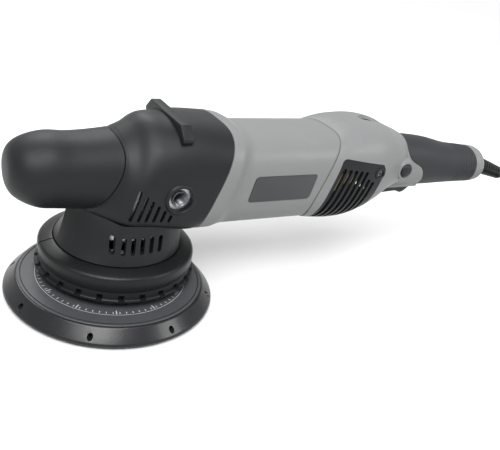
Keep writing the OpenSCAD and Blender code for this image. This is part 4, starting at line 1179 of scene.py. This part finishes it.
class POLISHER_OT_motor(bpy.types.Operator):
    """Makes the motor housing with its collar and the blank side badges."""

    bl_idname = "polisher.motor"
    bl_label = "Motor housing"

    def execute(self, context):
        sizes = context.scene.polisher_sizes
        rows = straight_rows(BARREL_RINGS, 3.0, 1.6)
        rows = [moved_row(rows[0], sizes.seam), *rows[1:-1], moved_row(rows[-1], -sizes.seam)]
        shell = open_shell(rows, sizes.wall, sizes.lip)
        pocket = badge_slab(0.35, 4.0, 3.0)
        housing = worked(shell, ("DIFFERENCE", both_sides(pocket)))
        add_piece("motor_shell", housing, "housing", "grey_shell", "motor_housing")
        add_piece("badges", both_sides(badge_slab(0, 0.8, 0)), "housing", "badge_dark", "side_badges")
        return {"FINISHED"}


# ---- Rear housing ----

VENT_OUTLINE = ((141, -42), (160.6, 20), (163.5, 21.6), (202, 16), (205.5, 11), (201.5, -4), (190, -42))
STEP_OUTLINE = (
    (205, 20), (271, 20), (271, axis_z - 8), (266, axis_z + 3.5), (255, axis_z + 8), (247.5, axis_z + 13.5),
    (245.6, axis_z + 24), (245.3, 150), (205, 150))


def vent_prism(grow, deep=30):
    """Block with the vent's outline on the left side."""
    middle = Vector((172, -8))
    outline = []
    for x, z in VENT_OUTLINE:
        spot = Vector((x, z))
        spot += (spot - middle).normalized() * grow * 1.2
        outline.append((spot.x, axis_z + spot.y))
    bm = slab(outline, deep, corners=2.2)
    return put(bm, (90, 0, 0), (0, -28, 0))


def step_prism(grow):
    """Block whose rear face is the curved boundary between the housing and the rear grip."""
    outline = [(x + (grow if x > 210 else 0), z + (grow if 30 < z < 140 and x > 210 else 0))
               for x, z in STEP_OUTLINE]
    bm = slab(outline, 100, corners=5.0)
    return put(bm, (90, 0, 0), (0, 50, 0))


class POLISHER_OT_rear(bpy.types.Operator):
    """Makes the two halves of the rear housing."""

    bl_idname = "polisher.rear"
    bl_label = "Rear housing"

    def execute(self, context):
        sizes = context.scene.polisher_sizes
        rear = smooth_rows(REAR_RINGS, 2.4)
        grip = smooth_rows(GRIP_RINGS, 4.0)
        start = moved_row(rear[0], sizes.seam)
        outer = [
            *rounded_rim(start, sizes.lip, 1), *((row, 0.0) for row in rear[1:-1]), (rear[-1], 0.8)]
        shell = skinned([ring_spots(row, inset) for row, inset in outer])
        core = solid([moved_row(grip[0], -6), *grip], RUBBER)
        cheek = worked(solid([moved_row(grip[0], -8), *grip[:12]]), ("INTERSECT", step_prism(0)))
        ledge = block((56.5, 32, 6), (242.4, 0, axis_z - 14), 1.2)
        z_button = button_at.z
        collar = put(
            turned([
                (BUTTON_RING - 2.7, -16), (BUTTON_RING - 2.7, 0), (BUTTON_RING - 2.3, 0.4),
                (BUTTON_RING - 0.8, 0.4), (BUTTON_RING, -0.4), (BUTTON_RING + 1.4, -3.5),
                (BUTTON_RING + 1.4, -16)], 64),
            (90, 0, 0), (button_at.x, -30.6, z_button))
        collar_fill = put(rod(BUTTON_RING, 13), (90, 0, 0), (button_at.x, -17, z_button))
        hollow = solid([moved_row(rear[0], -3), *rear[1:-2]], sizes.wall)
        hollow_grip = solid(
            [moved_row(grip[0], -9), *grip[:-1], moved_row(grip[-1], 3)], RUBBER + sizes.wall)
        scoop = turned(
            [(0, -11)] + [(24 * math.cos(math.radians(a)), 11 * math.sin(math.radians(a)))
                          for a in range(-80, 81, 8)] + [(0, 11)], 96)
        put(scoop, (90, 0, 0), (dial_at.x, 0, dial_at.z + 31))
        dial_slot = put(rod(11.6, 9), (90, 0, 0), (dial_at.x, 4.5, dial_at.z))
        bore = put(rod(BUTTON_RING - 2.8, 40), (90, 0, 0), (button_at.x, -8, z_button))
        window = block(
            (trigger_high.x - trigger_low.x + 4, 19, 40),
            ((trigger_low.x + trigger_high.x) / 2, 0, axis_z - 28))
        whole = worked(
            shell,
            ("UNION", core), ("UNION", cheek), ("UNION", ledge),
            ("DIFFERENCE", hollow), ("DIFFERENCE", hollow_grip),
            ("UNION", collar_fill), ("UNION", collar),
            ("DIFFERENCE", bore), ("DIFFERENCE", window),
            ("DIFFERENCE", scoop), ("DIFFERENCE", dial_slot),
            ("DIFFERENCE", both_sides(vent_prism(0.3))))
        for name, side in (("left", -1), ("right", 1)):
            half = whole.copy()
            bmesh.ops.bisect_plane(
                half, geom=half.verts[:] + half.edges[:] + half.faces[:], dist=1e-5,
                plane_co=(0, side * 0.04, 0), plane_no=(0, side, 0), clear_inner=True)
            rim = [e for e in half.edges if e.is_boundary]
            bmesh.ops.triangle_fill(half, edges=rim, use_beauty=True)
            bmesh.ops.recalc_face_normals(half, faces=half.faces)
            add_piece("rear_shell_" + name, half, "housing", "grey_shell", "rear_housing_" + name)
        whole.free()
        return {"FINISHED"}


class POLISHER_OT_vents(bpy.types.Operator):
    """Makes the vent covers with their slots and screws."""

    bl_idname = "polisher.vents"
    bl_label = "Vent covers"

    def execute(self, context):
        sizes = context.scene.polisher_sizes
        rear = smooth_rows(REAR_RINGS, 2.4)
        outer = solid([moved_row(rear[0], -1), *rear[1:-2]], 0.25)
        inner = solid([moved_row(rear[0], -2), *rear[1:-3]], sizes.wall + 0.2)
        screw_x, screw_z = 199.5, axis_z + 9
        ring = put(
            turned([(2.9, -3), (2.9, 0.3), (3.3, 0.7), (4.2, 0.7), (4.8, 0.2), (5.0, -0.6), (5.0, -3)], 48),
            (90, 0, 0), (screw_x, -40.0, screw_z))
        slots = []
        for i in range(sizes.vent_slots):
            past = i - (sizes.vent_slots - 2)
            height = 49.5 - 0.75 * i if past < 0 else 39.5 - 2.5 * past
            slots.append(
                put(stood_slot(3.2, height, 34), (0, 18, 0), (148.5 + 5.8 * i, -34, axis_z - 33)))
        cover = worked(
            outer, ("DIFFERENCE", inner), ("INTERSECT", vent_prism(-0.15)),
            ("DIFFERENCE", gathered(*slots)),
            ("DIFFERENCE", put(rod(3.0, 12), (90, 0, 0), (screw_x, -34, screw_z))),
            ("UNION", ring))
        add_piece("vent_panel_right", mirrored(cover), "housing", "black_shell", "vent_cover_right")
        add_piece("vent_panel_left", cover, "housing", "black_shell", "vent_cover_left")

        head = turned([(0, -4), (2.75, -4), (2.75, -0.5), (2.4, -0.1), (0, 0)], 40)
        screw = worked(head, *(
            ("DIFFERENCE", block((long, wide, 2.4), (0, 0, 0))) for long, wide in ((3.2, 0.8), (0.8, 3.2))))
        put(screw, (90, 0, 0), (screw_x, -39.6, screw_z))
        add_piece("vent_screws", both_sides(screw), "housing", "screw_steel")
        return {"FINISHED"}


class POLISHER_OT_grip(bpy.types.Operator):
    """Makes the rubber of the rear grip with its ribs, and the tail cap."""

    bl_idname = "polisher.grip"
    bl_label = "Rear grip"

    def execute(self, context):
        sizes = context.scene.polisher_sizes
        rows = smooth_rows(GRIP_RINGS, 0.85)
        rows = [moved_row(rows[0], sizes.seam), *rows[1:-1], moved_row(rows[-1], -sizes.seam)]
        first, last = tail_x - 50, tail_x - 17
        def groove(x):
            if not first < x < last:
                return 0.0
            fade = min(1.0, (x - first) / 10)
            wave = 0.5 - 0.5 * math.cos(math.tau * (x - first) / sizes.rib_pitch)
            return sizes.rib_depth * fade * wave ** 2
        shell = open_shell(rows, 2.15, sizes.lip, groove)
        add_piece(
            "grip_rubber", worked(shell, ("DIFFERENCE", step_prism(0.35))),
            "housing", "grip_rubber", "rear_grip")
        tail = smooth_rows(TAIL_RINGS, 0.8)
        chain = [
            (tail[0], 6.0), (tail[0], 0.5), (moved_row(tail[0], 0.2), 0.15), (moved_row(tail[0], 0.6), 0.0),
            *((row, 0.0) for row in tail[1:])]
        loops = [ring_spots(row, inset) for row, inset in chain]
        add_piece("tail_ring", worked(
            skinned(loops), ("DIFFERENCE", put(rod(7.4, 30), (0, 90, 0), (tail_x - 20, 0, axis_z - 3.5)))),
            "housing", "grey_shell", "tail_cap")
        return {"FINISHED"}


class POLISHER_OT_controls(bpy.types.Operator):
    """Makes the trigger, the lock button and the speed dial."""

    bl_idname = "polisher.controls"
    bl_label = "Controls"

    def execute(self, context):
        x, z = trigger_low.x + 5, axis_z - 16
        outline = [
            (x - 4.6, z - 1.2), (x - 2.6, z - 4.2), (x + 2, z - 5.4), (x + 14, z - 8.8), (x + 32, z - 7.8),
            (x + 38, z - 9.9), (x + 42, z - 8.8), (x + 48, z - 3.6), (x + 48, z + 2), (x, z + 4.9),
            (x - 3.6, z + 3)]
        width = trigger_high.y - trigger_low.y
        paddle = put(slab(outline, width, corners=0.9, edge=0.9), (90, 0, 0), (0, width / 2, 0))
        grooves = gathered(*(
            put(
                block((1.0, width - 5, 1.0), (0, 0, 0)), (0, -16, 0),
                (x + 6 + 3.0 * i, 0, z - 6.3 - 0.85 * i))
            for i in range(3)))
        paddle = worked(paddle, ("DIFFERENCE", grooves))
        add_piece("trigger_paddle", paddle, "trigger", "switch_plastic", "trigger")

        low, high = node_box("lock_button")
        radius, crown, length = 5.6, 2.24, high.y - low.y
        dome = [
            (radius * math.cos(math.radians(a)), crown * math.sin(math.radians(a)) - crown)
            for a in range(0, 90, 10)]
        cap = turned([(0, -length), (radius, -length), *dome, (0, 0)], 64)
        put(cap, (90, 0, 0), (button_at.x, low.y, button_at.z))
        add_piece("lock_cap", cap, "lock_button", "switch_plastic", "lock_button")

        dial_low, dial_high = node_box("speed_dial")
        radius = (dial_high.z - dial_low.z) / 2
        bm = bmesh.new()
        loop = bmesh.ops.create_circle(bm, segments=96, radius=radius)["verts"]
        for i, vert in enumerate(loop):
            vert.co *= (radius - (0.9 if i % 4 == 0 else 0.1)) / radius
        face = bm.faces.new(loop)
        thickened(bm, face, 8)
        bevelled(bm, [e for f in bm.faces if len(f.verts) > 8 for e in f.edges], 0.5, 2)
        put(bm, (90, 0, 0), (dial_at.x, 4, dial_at.z))
        pivot = put(rod(2.5, 16, 32), (90, 0, 0), (dial_at.x, 8, dial_at.z))
        add_piece("dial_wheel", worked(bm, ("UNION", pivot)), "speed_dial", "switch_plastic", "speed_dial")
        return {"FINISHED"}


class POLISHER_OT_finishes(bpy.types.Operator):
    """Makes every finish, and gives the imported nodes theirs."""

    bl_idname = "polisher.finishes"
    bl_label = "Finishes"

    def execute(self, context):
        FINISHES.update(make_finishes(context.scene.polisher_colours))
        for part in frame["record"]["subparts"]:
            node = frame["nodes"][part["node"]]
            for socket in node.material_slots:
                socket.material = FINISHES[part["material_slot"]]
        return {"FINISHED"}


class POLISHER_PT_build(bpy.types.Panel):
    """Sizes, colours and the steps that build the polisher."""

    bl_idname = "POLISHER_PT_build"
    bl_label = "Dual action polisher"
    bl_space_type = "VIEW_3D"
    bl_region_type = "UI"
    bl_category = "Polisher"

    def draw(self, context):
        layout = self.layout
        for group in (context.scene.polisher_sizes, context.scene.polisher_colours):
            for key in group.bl_rna.properties.keys():
                if key not in ("rna_type", "name"):
                    layout.prop(group, key)
        for step in STEPS:
            layout.operator(step.bl_idname)


STEPS = (
    POLISHER_OT_stage, POLISHER_OT_finishes, POLISHER_OT_cord, POLISHER_OT_nose, POLISHER_OT_head,
    POLISHER_OT_skirt, POLISHER_OT_plate, POLISHER_OT_motor, POLISHER_OT_rear, POLISHER_OT_vents,
    POLISHER_OT_grip, POLISHER_OT_controls,
)
CLASSES = (PolisherSizes, PolisherColours, *STEPS, POLISHER_PT_build)


def register():
    for cls in CLASSES:
        bpy.utils.register_class(cls)
    bpy.types.Scene.polisher_sizes = PointerProperty(type=PolisherSizes)
    bpy.types.Scene.polisher_colours = PointerProperty(type=PolisherColours)


def unregister():
    del bpy.types.Scene.polisher_colours
    del bpy.types.Scene.polisher_sizes
    for cls in reversed(CLASSES):
        bpy.utils.unregister_class(cls)


def main():
    register()
    for step in STEPS:
        group, name = step.bl_idname.split(".")
        getattr(getattr(bpy.ops, group), name)()


if __name__ == "__main__":
    main()
